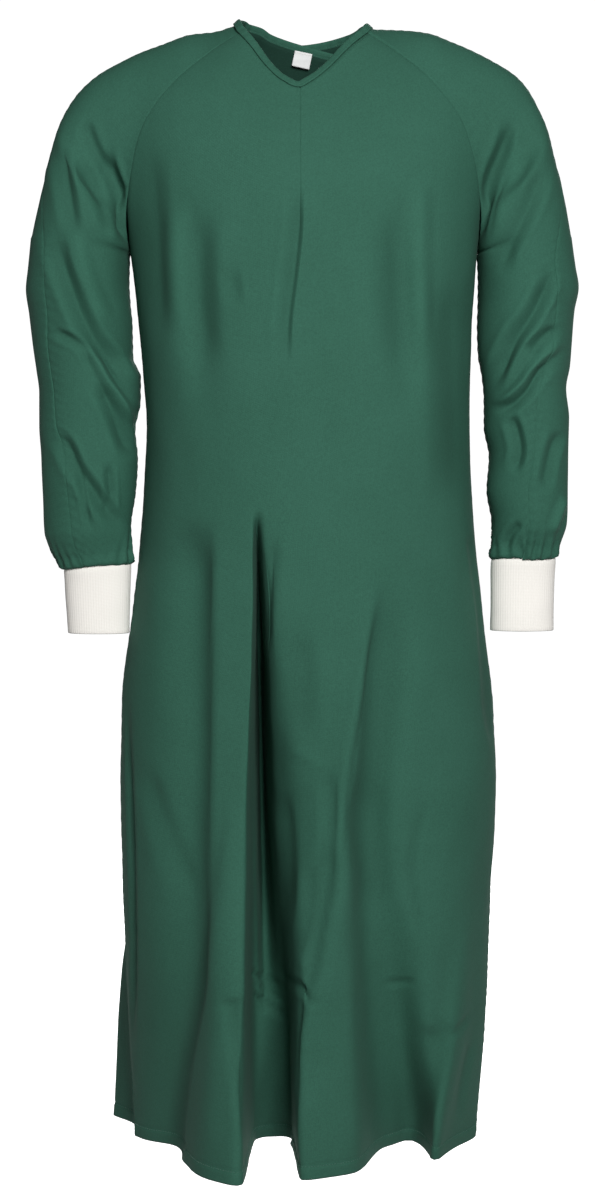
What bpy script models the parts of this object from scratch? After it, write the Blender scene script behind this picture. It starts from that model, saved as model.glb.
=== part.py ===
"""Surgical gown, filled out with no wearer: front, two overlapping backs, raglan sleeves
in two halves each, knit cuffs, neck binding and a label. Metres, +Z up, the front faces
-Y and +X is the viewer's right. The origin is between the shoulders at the neck."""

import math

import bpy
import numpy as np

# Real sizes.
CLOTH, KNIT, BINDING = 0.0015, 0.0025, 0.0026
SEAM_GAP = 0.0003
UNDERARM_Z, HEM_Z = -0.245, -1.240
PASSES_CENTRE = 0.042  # how far each back panel runs past centre back
LAYER = 0.0055  # how far the inner back panel lies inside the outer one
LAYER_STEP = (-0.0645, -0.0430)  # x between which it goes inside
BINDING_WIDTH = 0.0100
LABEL_WIDTH, LABEL_LONG = 0.020, 0.017

# How many quads each piece has.
FRONT_ACROSS, BACK_ACROSS, SLEEVE_ACROSS, CUFF_ROUND, NECK_ROUND = 46, 20, 8, 24, 72
YOKE_ROWS, SKIRT_ROWS, CAP_ROWS, ARM_ROWS, CUFF_ROWS, BINDING_ROWS = 8, 19, 8, 15, 3, 3
BINDING_SMOOTH = 4  # how many times the binding's directions are evened out

# The body in sections. left and right are how far the side seams are from the middle,
# front and back how far the middle of each is from the seams. square 2 is an ellipse.
# swell is how far the left back panel stands out past the front's side seam.
BODY_COLUMNS = ("z", "left", "right", "front", "back", "square_front", "square_back", "swell")
BODY = (
    (0.020, 0.070, 0.070, 0.045, 0.070, 2.00, 2.00, 0.000),
    (0.000, 0.082, 0.082, 0.050, 0.077, 2.00, 2.00, 0.000),
    (-0.030, 0.135, 0.138, 0.066, 0.086, 2.00, 2.00, 0.000),
    (-0.060, 0.190, 0.193, 0.082, 0.094, 2.00, 2.00, 0.000),
    (-0.085, 0.210, 0.211, 0.094, 0.100, 2.00, 2.00, 0.000),
    (-0.130, 0.212, 0.213, 0.114, 0.109, 2.00, 2.00, 0.000),
    (-0.190, 0.202, 0.202, 0.130, 0.116, 2.10, 2.10, 0.000),
    (-0.245, 0.191, 0.193, 0.138, 0.120, 2.20, 2.20, 0.000),
    (-0.275, 0.187, 0.190, 0.141, 0.121, 2.25, 2.25, 0.000),
    (-0.340, 0.181, 0.186, 0.145, 0.118, 2.30, 2.30, 0.000),
    (-0.440, 0.174, 0.185, 0.147, 0.108, 2.30, 2.30, 0.000),
    (-0.518, 0.178, 0.188, 0.146, 0.104, 2.20, 2.30, 0.000),
    (-0.630, 0.189, 0.199, 0.146, 0.108, 2.20, 2.30, 0.000),
    (-0.743, 0.204, 0.213, 0.148, 0.115, 2.15, 2.30, 0.000),
    (-0.833, 0.2055, 0.217, 0.150, 0.120, 2.10, 2.40, 0.004),
    (-0.970, 0.2025, 0.211, 0.156, 0.126, 1.95, 2.50, 0.020),
    (-1.084, 0.1985, 0.2075, 0.162, 0.132, 1.65, 2.60, 0.042),
    (-1.240, 0.190, 0.196, 0.170, 0.140, 1.30, 2.60, 0.060),
)
SWELL_POWER = 1.9  # moves the swell's middle round to the back

# The largest folds. A fold runs down from one height to another, its middle at x from,
# halfway and to, and pushes the cloth in by depth, or out where depth is below 0. One
# that ends at the hem grows all the way down, and the others fade out again.
FOLD_COLUMNS = (
    "face", "z_from", "z_to", "x_from", "x_half", "x_to", "left_from", "left_to",
    "right_from", "right_to", "depth", "growth", "flat",
)
FOLDS = (
    # the deep valley and the second valley of the skirt
    ("front", -0.490, HEM_Z, -0.050, -0.042, -0.036, 0.008, 0.028, 0.009, 0.029, 0.150, 1.15, 8),
    ("front", -0.590, HEM_Z, 0.084, 0.080, 0.105, 0.010, 0.035, 0.024, 0.032, 0.076, 1.50, 4),
    # the step left of the lit lobe, the lobe, the slanting ridge and the last lobe
    ("front", -0.520, HEM_Z, -0.106, -0.108, -0.148, 0.045, 0.024, 0.009, 0.014, 0.022, 0.60, 2),
    ("front", -0.820, HEM_Z, -0.078, -0.079, -0.088, 0.016, 0.042, 0.020, 0.036, -0.060, 1.40, 4),
    ("front", -0.560, -1.120, 0.080, 0.052, 0.014, 0.020, 0.034, 0.012, 0.018, -0.012, 1.00, 2),
    ("front", -0.960, HEM_Z, 0.184, 0.166, 0.142, 0.014, 0.016, 0.014, 0.018, -0.030, 1.00, 2),
    # the chest, and the pleat where it opens below its stitching
    ("front", -0.190, -0.440, -0.113, -0.110, -0.106, 0.014, 0.020, 0.016, 0.022, 0.009, 1.00, 2),
    ("front", -0.190, -0.430, 0.102, 0.106, 0.112, 0.014, 0.020, 0.014, 0.020, 0.009, 1.00, 2),
    ("front", -0.180, -0.390, -0.002, -0.008, -0.018, 0.011, 0.014, 0.011, 0.014, 0.008, 1.00, 2),
    # the hidden backs, with folds like those of the front
    ("back", -0.560, HEM_Z, -0.104, -0.106, -0.112, 0.014, 0.034, 0.018, 0.034, 0.055, 1.20, 3),
    ("back", -0.480, HEM_Z, 0.098, 0.104, 0.116, 0.018, 0.034, 0.014, 0.036, 0.060, 1.20, 3),
    ("back", -0.620, HEM_Z, 0.012, 0.018, 0.026, 0.022, 0.036, 0.022, 0.036, 0.030, 1.20, 2),
    ("back", -0.180, -0.450, -0.110, -0.112, -0.106, 0.016, 0.022, 0.016, 0.022, 0.008, 1.00, 2),
    ("back", -0.160, -0.430, 0.104, 0.108, 0.110, 0.016, 0.022, 0.016, 0.022, 0.008, 1.00, 2),
)
# Between these heights the panels' columns move over to follow the folds that reach the hem.
ALIGN_FROM, ALIGN_TO = -0.32, -0.62
ALIGN_AT = (-1.35, -0.78, 0.78, 1.35)
ALIGN_DEPTH = 0.05  # only folds at least this deep
SEAM_CALM = 0.12  # the share of the width beside a side seam where folds fade out

# The raglan seams, neck to underarm, seen from the front. y comes from the body.
RAGLAN_COLUMNS = ("x_front", "z_front", "x_back", "z_back")
RAGLAN = (
    (0.0700, -0.008, 0.0640, -0.001),
    (0.0910, -0.022, 0.0920, -0.026),
    (0.1090, -0.036, 0.1180, -0.048),
    (0.1320, -0.056, 0.1410, -0.074),
    (0.1580, -0.085, 0.1600, -0.102),
    (0.1730, -0.108, 0.1745, -0.132),
    (0.1830, -0.137, 0.1850, -0.163),
    (0.1895, -0.168, 0.1905, -0.193),
    (0.1935, -0.203, 0.1930, -0.220),
    (0.1920, -0.245, 0.1920, -0.245),
)

BACK_NECK_LIFT = {"left": 0.007, "right": 0.001}  # of the back seams' upper ends

# The neck seam of the front, and the heights of the backs' neck seam.
FRONT_NECK_COLUMNS = ("x", "z")
FRONT_NECK = (
    (-0.0700, -0.008),
    (-0.0570, -0.025),
    (-0.0410, -0.048),
    (-0.0240, -0.065),
    (-0.0050, -0.074),
    (0.0090, -0.067),
    (0.0240, -0.055),
    (0.0520, -0.025),
    (0.0700, -0.008),
)
BACK_NECK_COLUMNS = ("x", "inner_z", "outer_z")
BACK_NECK = (
    (-0.0640, 0.0060, -0.0140),
    (-0.0500, 0.0035, -0.0140),
    (-0.0400, -0.0020, -0.0140),
    (-0.0250, -0.0070, -0.0135),
    (0.0000, -0.0140, -0.0125),
    (0.0180, -0.0190, -0.0105),
    (0.0330, -0.0230, -0.0080),
    (0.0450, -0.0260, -0.0055),
    (0.0560, -0.0270, -0.0030),
    (0.0640, -0.0280, 0.0000),
)

# The sleeve over the shoulder, neck to underarm: the ridge of the shoulder, and how
# strongly the section bulges by the raglan seam and by the ridge.
CAP_COLUMNS = ("t", "x_left", "z_left", "x_right", "z_right", "by_seam", "by_ridge")
CAP = (
    (0.00, 0.0750, 0.0050, 0.0750, 0.0000, 0.008, 0.014),
    (0.15, 0.1000, -0.0035, 0.1050, -0.0010, 0.004, 0.022),
    (0.25, 0.1250, -0.0060, 0.1370, -0.0040, 0.004, 0.030),
    (0.35, 0.1580, -0.0175, 0.1660, -0.0150, 0.006, 0.038),
    (0.45, 0.1930, -0.0320, 0.2060, -0.0320, 0.010, 0.046),
    (0.55, 0.2280, -0.0520, 0.2370, -0.0520, 0.015, 0.053),
    (0.65, 0.2515, -0.0750, 0.2540, -0.0750, 0.022, 0.060),
    (0.75, 0.2690, -0.1050, 0.2680, -0.1050, 0.034, 0.068),
    (0.85, 0.2800, -0.1420, 0.2780, -0.1420, 0.052, 0.077),
    (0.93, 0.2910, -0.1860, 0.2890, -0.1860, 0.074, 0.086),
    (1.00, 0.3000, -0.2260, 0.2960, -0.2260, 0.093, 0.093),
)

# The arm of the sleeve in rings, and the cuff. inner and outer are the ring's edges,
# y where they are, fore and aft how deep the ring is, and turn how far the overarm
# seam lies in front of the outer edge, as a share of the front half.
ARM_COLUMNS = (
    "z", "inner_left", "outer_left", "inner_right", "outer_right", "y", "fore", "aft",
    "turn_left", "turn_right",
)
ARM = (
    (-0.240, 0.1920, 0.3010, 0.1920, 0.2965, 0.000, 0.070, 0.068, 0.26, 0.28),
    (-0.275, 0.1930, 0.3050, 0.1935, 0.3010, -0.001, 0.069, 0.066, 0.29, 0.33),
    (-0.297, 0.1915, 0.3070, 0.1935, 0.3045, -0.002, 0.068, 0.065, 0.30, 0.33),
    (-0.324, 0.1890, 0.3030, 0.1930, 0.3000, -0.004, 0.066, 0.063, 0.29, 0.31),
    (-0.360, 0.1890, 0.2985, 0.1940, 0.2975, -0.006, 0.062, 0.060, 0.26, 0.33),
    (-0.385, 0.1800, 0.2950, 0.1980, 0.2960, -0.008, 0.060, 0.058, 0.25, 0.39),
    (-0.410, 0.1800, 0.2920, 0.2000, 0.2920, -0.010, 0.058, 0.055, 0.26, 0.43),
    (-0.444, 0.1860, 0.2920, 0.2000, 0.2955, -0.012, 0.054, 0.052, 0.29, 0.46),
    (-0.479, 0.1825, 0.2895, 0.2050, 0.2950, -0.014, 0.051, 0.048, 0.34, 0.49),
    (-0.518, 0.1850, 0.2880, 0.2030, 0.2940, -0.016, 0.047, 0.044, 0.36, 0.52),
    (-0.560, 0.1905, 0.2860, 0.2090, 0.2925, -0.018, 0.041, 0.039, 0.39, 0.53),
    (-0.580, 0.1900, 0.2790, 0.2090, 0.2870, -0.019, 0.033, 0.032, 0.39, 0.53),
    (-0.597, 0.1900, 0.2660, 0.2080, 0.2800, -0.020, 0.025, 0.024, 0.39, 0.53),
)
CUFF_COLUMNS = ("share", "inner_left", "outer_left", "inner_right", "outer_right", "deep")
CUFF = (
    (0.0, 0.1900, 0.2655, 0.2090, 0.2805, 0.024),
    (0.3, 0.1920, 0.2650, 0.2085, 0.2795, 0.022),
    (1.0, 0.1950, 0.2640, 0.2085, 0.2785, 0.021),
)
CUFF_TOP = {"left": -0.597, "right": -0.588}
CUFF_END = {"left": -0.664, "right": -0.661}
CUFF_Y = -0.020
CAP_TURNS = (0.82, 1.03)  # where over the shoulder the overarm seam turns to the front
HANDLE = 4 / 3  # a curve's handles, for each unit that it bulges
FINE = 201  # points on a curve before it is evened out

# The neck's axis, and how far the binding stands out from a flat band in its middle.
NECK_AXIS_Y, BINDING_CURVE = -0.005, 0.0007
LABEL_AT, LABEL_TURN, LABEL_CLEAR = (-0.001, -0.022), math.radians(12), 0.0030
LABEL_THICK, LABEL_QUADS = 0.001, 4

# How far the binding leans inward for each unit it rises, round from the front.
LEAN_COLUMNS = ("degrees", "lean")
LEAN = ((0, 0.40), (35, 1.10), (60, 1.10), (90, 0.75), (140, 0.35), (180, 0.30))


def column(table, names, name):
    return np.array([row[names.index(name)] for row in table], float)


def follow(xs, ys, at):
    """A smooth line through a table's values, which never swings past them."""
    if xs[0] > xs[-1]:
        xs, ys = xs[::-1], ys[::-1]
    step = np.diff(xs)
    slope = np.diff(ys) / step
    product = slope[1:] * slope[:-1]
    total = np.where(product > 0, slope[1:] + slope[:-1], 1.0)
    middle = np.where(product > 0, 2 * product / total, 0.0)
    tangent = np.concatenate([slope[:1], middle, slope[-1:]])
    at = np.clip(at, xs[0], xs[-1])
    i = np.clip(np.searchsorted(xs, at, side="right") - 1, 0, len(step) - 1)
    t = (at - xs[i]) / step[i]
    rise = tangent[i] * t * (1 - t) ** 2 + tangent[i + 1] * t * t * (t - 1)
    return ys[i] * (1 + 2 * t) * (1 - t) ** 2 + ys[i + 1] * t * t * (3 - 2 * t) + rise * step[i]


def body(name, z):
    return follow(column(BODY, BODY_COLUMNS, "z"), column(BODY, BODY_COLUMNS, name), z)


def arm(name, z):
    return follow(column(ARM, ARM_COLUMNS, "z"), column(ARM, ARM_COLUMNS, name), z)


def cap(name, t):
    return follow(column(CAP, CAP_COLUMNS, "t"), column(CAP, CAP_COLUMNS, name), t)


def ease(at, start, end):
    t = np.clip((at - start) / (end - start), 0, 1)
    return t * t * (3 - 2 * t)


def fold_line(fold, z):
    """A fold's middle, its half-widths left and right of it, and its strength, at z."""
    top, low = fold["z_from"], fold["z_to"]
    t = np.clip((top - z) / (top - low), 0, 1)
    path = np.array([fold["x_from"], fold["x_half"], fold["x_to"]])
    middle = follow(np.array([0.0, 0.5, 1.0]), path, t)
    left = fold["left_from"] + (fold["left_to"] - fold["left_from"]) * t
    right = fold["right_from"] + (fold["right_to"] - fold["right_from"]) * t
    return middle, left, right, t ** fold["growth"] if low == HEM_Z else np.sin(np.pi * t)


def folds_of(face):
    return [fold for fold in (dict(zip(FOLD_COLUMNS, row)) for row in FOLDS) if fold["face"] == face]


def folded(face, x, z):
    """How far the folds push in the cloth at x, z."""
    total = np.zeros(np.broadcast(x, z).shape)
    for fold in folds_of(face):
        middle, left, right, strength = fold_line(fold, z)
        off = (x - middle) / np.where(x < middle, left, right)
        total += fold["depth"] * strength * np.exp(-np.abs(off) ** fold["flat"])
    return total


def rounded(face, x, z):
    """How far out to the side x is, and how high the section is there before its folds."""
    square = body("square_" + face, z)
    share = np.clip(np.abs(x) / np.where(x < 0, body("left", z), body("right", z)), 0, 1)
    return share, (1 - share**square) ** (1 / square)


def depth(face, x, z):
    """y of the body's front or back at x, z."""
    share, height = rounded(face, x, z)
    # A fold fades out by the side seam, which stays where the section puts it.
    fold = folded(face, x, z) * ease(1 - share, 0.0, SEAM_CALM)
    if face == "front":
        return -body("front", z) * height + fold
    return body("back", z) * height - fold


def swollen(x, z):
    """x of the back's points, moved out to the left beside the left side seam."""
    out = np.sin(np.pi * rounded("back", x, z)[1] ** SWELL_POWER) ** 2
    return x - np.where(x < 0, body("swell", z) * out, 0)


def even(points, count):
    """count + 1 points at even distances along a line."""
    points = np.asarray(points, float)
    length = lengths(points)
    at = np.linspace(0, length[-1], count + 1)
    return np.stack([np.interp(at, length, points[:, k]) for k in range(points.shape[1])], 1)


def level_line(face, z, x_from, x_to):
    """Many points along one level section of the body between two x."""
    angle = np.linspace(0, np.pi, 6 * FINE)
    reach = np.where(angle < np.pi / 2, body("left", z), body("right", z))
    square = body("square_" + face, z)
    x = -reach * np.sign(np.cos(angle)) * np.abs(np.cos(angle)) ** (2 / square)
    x = np.unique(np.clip(x, max(x_from, -reach[0]), min(x_to, reach[-1])))
    return np.stack([x, depth(face, x, z), np.full(len(x), z)], 1)


def lengths(points):
    return np.concatenate([[0], np.cumsum(np.linalg.norm(np.diff(points, axis=0), axis=1))])


def section(face, z, x_from, x_to, count):
    """One level section of the body, its columns even along the cloth and, in the
    skirt, kept beside the same fold all the way down."""
    line = level_line(face, z, x_from, x_to)
    length = lengths(line)
    shares = np.linspace(0, 1, count + 1)
    blend = ease(-z, -ALIGN_FROM, -ALIGN_TO)
    if blend > 0:
        hem = level_line(face, HEM_Z, x_from, x_to)
        marks = [(0.0, 0.0)]
        for fold in folds_of(face):
            if fold["z_to"] != HEM_Z or fold["depth"] < ALIGN_DEPTH:
                continue
            for at in ALIGN_AT:
                here, there = (
                    middle + at * (left if at < 0 else right)
                    for middle, left, right, _ in (fold_line(fold, z), fold_line(fold, HEM_Z))
                )
                if min(here, there) < line[0, 0] or max(here, there) > line[-1, 0]:
                    continue
                marks.append((
                    np.interp(there, hem[:, 0], lengths(hem)) / lengths(hem)[-1],
                    np.interp(here, line[:, 0], length) / length[-1],
                ))
        marks = np.array(sorted(marks + [(1.0, 1.0)]))
        shares = shares * (1 - blend) + np.interp(shares, marks[:, 0], marks[:, 1]) * blend
    at = shares * length[-1]
    points = np.stack([np.interp(at, length, line[:, k]) for k in range(3)], 1)
    if face == "back":
        points[:, 0] = swollen(points[:, 0], z)
    return points


def raglan(face, side, count):
    """Points along a raglan seam, neck to underarm, at even distances."""
    sign = -1 if side == "left" else 1
    x = column(RAGLAN, RAGLAN_COLUMNS, "x_" + face)
    z = column(RAGLAN, RAGLAN_COLUMNS, "z_" + face)
    at, steps = np.linspace(0, 1, len(x)), np.linspace(0, 1, FINE)
    x = follow(at, x, steps)
    z = follow(at, z, steps)
    ends = body(side, UNDERARM_Z)
    x += (ends - x[-1]) * steps**4
    if face == "back":
        z += BACK_NECK_LIFT[side] * (1 - ease(steps, 0, 0.25))
    y = depth(face, sign * x, z)
    return even(np.stack([sign * x, y, z], 1), count)


def yoke(top, left, right, low):
    """Points in x and z between four lines, row by row from the top."""
    v = np.linspace(0, 1, len(left))[:, None, None]
    u = np.linspace(0, 1, len(top))[None, :, None]
    rows = (1 - v) * top[None] + v * low[None] + (1 - u) * left[:, None] + u * right[:, None]
    corners = (1 - v) * ((1 - u) * top[0] + u * top[-1]) + v * ((1 - u) * low[0] + u * low[-1])
    return rows - corners


def skirt_heights(rows):
    """The heights of the sections from the underarm to the hem."""
    return np.linspace(UNDERARM_Z, HEM_Z, rows + 1)


def front_grid(across, yoke_rows, skirt_rows):
    low = section("front", UNDERARM_Z, -1, 1, across)[:, [0, 2]]
    left = raglan("front", "left", yoke_rows)[:, [0, 2]]
    right = raglan("front", "right", yoke_rows)[:, [0, 2]]
    x = column(FRONT_NECK, FRONT_NECK_COLUMNS, "x")
    z = column(FRONT_NECK, FRONT_NECK_COLUMNS, "z")
    steps = np.linspace(x[0], x[-1], FINE)
    top = even(np.stack([steps, follow(x, z, steps)], 1), across)
    flat = yoke(top, left, right, low)
    upper = np.stack([flat[..., 0], depth("front", flat[..., 0], flat[..., 1]), flat[..., 1]], 2)
    lower = [section("front", z, -1, 1, across) for z in skirt_heights(skirt_rows)[1:]]
    return np.concatenate([upper, np.array(lower)])


def back_grid(side, across, yoke_rows, skirt_rows):
    """A back panel from its side seam to its free edge past the centre."""
    free = PASSES_CENTRE if side == "left" else -PASSES_CENTRE
    span = (-1, free) if side == "left" else (free, 1)
    low = section("back", UNDERARM_Z, *span, across)[:, [0, 2]]
    seam = raglan("back", side, yoke_rows)[:, [0, 2]]
    x = column(BACK_NECK, BACK_NECK_COLUMNS, "x")
    level = "inner_z" if side == "left" else "outer_z"
    z = column(BACK_NECK, BACK_NECK_COLUMNS, level)
    steps = np.linspace(*((x[0], free) if side == "left" else (free, x[-1])), FINE)
    top = even(np.stack([steps, follow(x, z, steps)], 1), across)
    free_z = top[-1, 1] if side == "left" else top[0, 1]
    edge = np.linspace((free, free_z), (free, UNDERARM_Z), yoke_rows + 1)
    flat = yoke(top, seam, edge, low) if side == "left" else yoke(top, edge, seam, low)
    upper = np.stack([flat[..., 0], depth("back", flat[..., 0], flat[..., 1]), flat[..., 1]], 2)
    lower = [section("back", z, *span, across) for z in skirt_heights(skirt_rows)[1:]]
    points = np.concatenate([upper, np.array(lower)])
    if side == "left":
        points[..., 1] -= LAYER * ease(points[..., 0], *LAYER_STEP)
    return points


def arch(start, ridge, end, by_start, by_ridge, by_end, s):
    """A sleeve section from the front seam (s 0) over the ridge (s 1) to the back (s 2)."""
    front, back = np.clip(s, 0, 1)[:, None], np.clip(s - 1, 0, 1)[:, None]
    push = np.array([0.0, 1.0, 0.0])
    curves = []
    for t, a, b, from_a, from_b in (
        (front, start, ridge, -by_start, -by_ridge[0]),
        (back, ridge, end, by_ridge[1], by_end),
    ):
        one, two = a + push * from_a, b + push * from_b
        curves.append(
            a * (1 - t) ** 3 + 3 * one * t * (1 - t) ** 2 + 3 * two * t * t * (1 - t) + b * t**3
        )
    return np.where(s[:, None] <= 1, curves[0], curves[1])


def half_steps(half, turn, across):
    """Steps round the front or back half of a sleeve section, to the overarm seam."""
    return np.linspace(*((0, 1 - turn) if half == "front" else (1 - turn, 2)), across * 6 + 1)


def sleeve_grid(side, half, across, cap_rows, arm_rows):
    """Half of a sleeve, neck to cuff, its columns from the front round to the back."""
    sign = -1 if side == "left" else 1
    fronts, backs = raglan("front", side, cap_rows), raglan("back", side, cap_rows)
    rows = []
    for i, t in enumerate(np.linspace(0, 1, cap_rows + 1)):
        ridge = np.array([sign * cap("x_" + side, t), 0.0, cap("z_" + side, t)])
        turn = arm("turn_" + side, UNDERARM_Z) * ease(t, *CAP_TURNS)
        s = half_steps(half, turn, across)
        bulge, crest = cap("by_seam", t), cap("by_ridge", t)
        line = arch(fronts[i], ridge, backs[i], bulge, (crest, crest), bulge, s)
        rows.append(even(line, across))
    start_z, end_z = ARM[0][0], ARM[-1][0]
    for t in np.linspace(0, 1, arm_rows + 1)[1:]:
        inner_z = UNDERARM_Z + (CUFF_TOP[side] - UNDERARM_Z) * t
        outer_z = cap("z_" + side, 1.0) + (CUFF_TOP[side] - cap("z_" + side, 1.0)) * t
        z = start_z + (end_z - start_z) * t
        start = np.array([sign * arm("inner_" + side, z), arm("y", z), inner_z])
        ridge = np.array([sign * arm("outer_" + side, z), arm("y", z), outer_z])
        s = half_steps(half, arm("turn_" + side, z), across)
        fore, aft = arm("fore", z) * HANDLE, arm("aft", z) * HANDLE
        rows.append(even(arch(start, ridge, start, fore, (fore, aft), aft, s), across))
    return np.array(rows)


def cuff_grid(side, rows, round_count):
    sign = -1 if side == "left" else 1
    share = column(CUFF, CUFF_COLUMNS, "share")
    grid = []
    for t in np.linspace(0, 1, rows + 1):
        inner, outer, deep = (
            follow(share, column(CUFF, CUFF_COLUMNS, name), t)
            for name in ("inner_" + side, "outer_" + side, "deep")
        )
        z = CUFF_TOP[side] + (CUFF_END[side] - CUFF_TOP[side]) * t
        start = np.array([sign * inner, CUFF_Y, z])
        ridge = np.array([sign * outer, CUFF_Y, z])
        push = deep * HANDLE
        line = arch(start, ridge, start, push, (push, push), push, np.linspace(0, 2, FINE))
        grid.append(even(line, round_count)[:-1])
    return np.array(grid)


def inset(grid, top=0.0, low=0.0, first=0.0, last=0.0):
    """The grid with its edges drawn in by these gaps."""
    grid = grid.copy()

    def draw(edge, inner, gap):
        way = inner - edge
        return edge + way / np.linalg.norm(way, axis=-1, keepdims=True) * gap

    grid[0], grid[-1] = draw(grid[0], grid[1], top), draw(grid[-1], grid[-2], low)
    first, last = (np.broadcast_to(gap, len(grid))[:, None] for gap in (first, last))
    grid[:, 0], grid[:, -1] = draw(grid[:, 0], grid[:, 1], first), draw(grid[:, -1], grid[:, -2], last)
    return grid


def neck_line(front, left, right, sleeves):
    """The neck seam from the inner back's free edge round the front to the outer back's."""
    parts = [
        left[0][::-1], sleeves["left", "back"][0][::-1], sleeves["left", "front"][0][::-1],
        front[0], sleeves["right", "front"][0], sleeves["right", "back"][0], right[0][::-1],
    ]
    line = [parts[0]] + [part[1:] for part in parts[1:]]
    return np.concatenate(line)


def binding_grid(line, count):
    """The neck binding, standing on the neck seam."""
    low = even(line, count)
    along = np.gradient(low, axis=0)
    along /= np.linalg.norm(along, axis=1, keepdims=True)
    round_neck = np.degrees(np.arctan2(np.abs(low[:, 0]), NECK_AXIS_Y - low[:, 1]))
    lean = follow(column(LEAN, LEAN_COLUMNS, "degrees"), column(LEAN, LEAN_COLUMNS, "lean"), round_neck)
    inward = np.array([0, NECK_AXIS_Y, 0]) - low * np.array([1, 1, 0])
    inward /= np.linalg.norm(inward, axis=1, keepdims=True)
    way = inward * lean[:, None] + np.array([0, 0, 1.0])
    way -= along * (way * along).sum(axis=1, keepdims=True)
    way /= np.linalg.norm(way, axis=1, keepdims=True)
    for _ in range(BINDING_SMOOTH):
        way[1:-1] = (way[:-2] + 2 * way[1:-1] + way[2:]) / 4
    out = np.cross(way, along) * BINDING_CURVE
    rises = np.linspace(2 * SEAM_GAP, BINDING_WIDTH, BINDING_ROWS + 1)
    return np.array([low + way * r + out * math.sin(math.pi * r / BINDING_WIDTH) for r in rises])


def label_grid():
    """The label, hanging inside the inner back panel over the binding's edge."""
    steps = np.linspace(-0.5, 0.5, LABEL_QUADS + 1)
    across, down = np.meshgrid(steps * LABEL_WIDTH, -steps * LABEL_LONG)
    x = LABEL_AT[0] + across * math.cos(LABEL_TURN) + down * math.sin(LABEL_TURN)
    z = LABEL_AT[1] + down * math.cos(LABEL_TURN) - across * math.sin(LABEL_TURN)
    y = depth("back", x, np.minimum(z, LABEL_AT[1])) - LAYER - CLOTH - BINDING - LABEL_CLEAR
    return np.stack([x, y, z], 2)


def cloth(name, grid, thick, look, closed=False, flip=False):
    """One piece of cloth: an open sheet of quads, thickened inward."""
    rows, columns = grid.shape[:2]
    faces = []
    for i in range(rows - 1):
        for j in range(columns if closed else columns - 1):
            k = (j + 1) % columns
            face = (i * columns + j, (i + 1) * columns + j, (i + 1) * columns + k, i * columns + k)
            faces.append(face[::-1] if flip else face)
    mesh = bpy.data.meshes.new(name)
    mesh.from_pydata([tuple(p) for p in grid.reshape(-1, 3)], [], faces)
    mesh.materials.append(look)
    piece = bpy.data.objects.new(name, mesh)
    gown.objects.link(piece)
    solid = piece.modifiers.new("Thickness", "SOLIDIFY")
    solid.thickness, solid.offset = thick, -1
    solid.use_even_offset, solid.use_quality_normals = True, True
    return piece


def principled(name, red, green, blue, roughness):
    look = bpy.data.materials.new(name)
    look.use_nodes = True
    shader = look.node_tree.nodes["Principled BSDF"]
    shader.inputs["Base Color"].default_value = (red, green, blue, 1)
    shader.inputs["Roughness"].default_value = roughness
    return look


for old in list(bpy.data.objects):
    bpy.data.objects.remove(old)
gown = bpy.data.collections.new("surgical_gown")
bpy.context.scene.collection.children.link(gown)


def green(name):
    return principled(name, 0.040, 0.125, 0.090, 0.85)


front = front_grid(FRONT_ACROSS, YOKE_ROWS, SKIRT_ROWS)
backs = {side: back_grid(side, BACK_ACROSS, YOKE_ROWS, SKIRT_ROWS) for side in ("left", "right")}
sleeves = {
    (side, half): sleeve_grid(side, half, SLEEVE_ACROSS, CAP_ROWS, ARM_ROWS)
    for side in ("left", "right")
    for half in ("front", "back")
}
G = SEAM_GAP
side_seams = np.linspace(G, 3 * G, len(front))  # wider where the seam is a sharper edge
grid = inset(front, G, 0, side_seams, side_seams)
cloth("front_panel", grid, CLOTH, green("front_panel_cloth"))
for side, edges in (("left", (side_seams, 0)), ("right", (0, side_seams))):
    grid = inset(backs[side], G, 0, *edges)
    cloth(f"back_{side}", grid, CLOTH, green(f"back_{side}_cloth"), flip=True)
for (side, half), grid in sleeves.items():
    name = f"sleeve_{half}_{side}"
    long_seams = np.linspace(G, 3 * G, len(grid))  # wider where the sleeve is tighter
    grid = inset(grid, G, G, long_seams, long_seams)
    cloth(name, grid, CLOTH, green(name + "_cloth"), flip=side == "left")
for side in ("left", "right"):
    look = principled(f"cuff_{side}_knit", 0.86, 0.84, 0.80, 0.9)
    grid = inset(cuff_grid(side, CUFF_ROWS, CUFF_ROUND), G, 0)
    cloth(f"cuff_{side}", grid, KNIT, look, closed=True, flip=side == "left")
neck = neck_line(front, backs["left"], backs["right"], sleeves)
cloth("neck_binding", binding_grid(neck, NECK_ROUND), BINDING, green("neck_binding_cloth"), flip=True)
cloth("size_label", label_grid(), LABEL_THICK, principled("size_label_weave", 0.8, 0.8, 0.78, 0.8))
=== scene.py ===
"""Surgical gown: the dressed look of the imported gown. Metres, +Z up, the front faces -Y.
The cloth follows the same sections, folds and seams as its solids, with the creases,
seams, hem, stitching, gathers and ribs that a solid leaves out."""

import math

import bmesh
import bpy
import numpy as np
from mathutils import Matrix, Vector, noise


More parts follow.
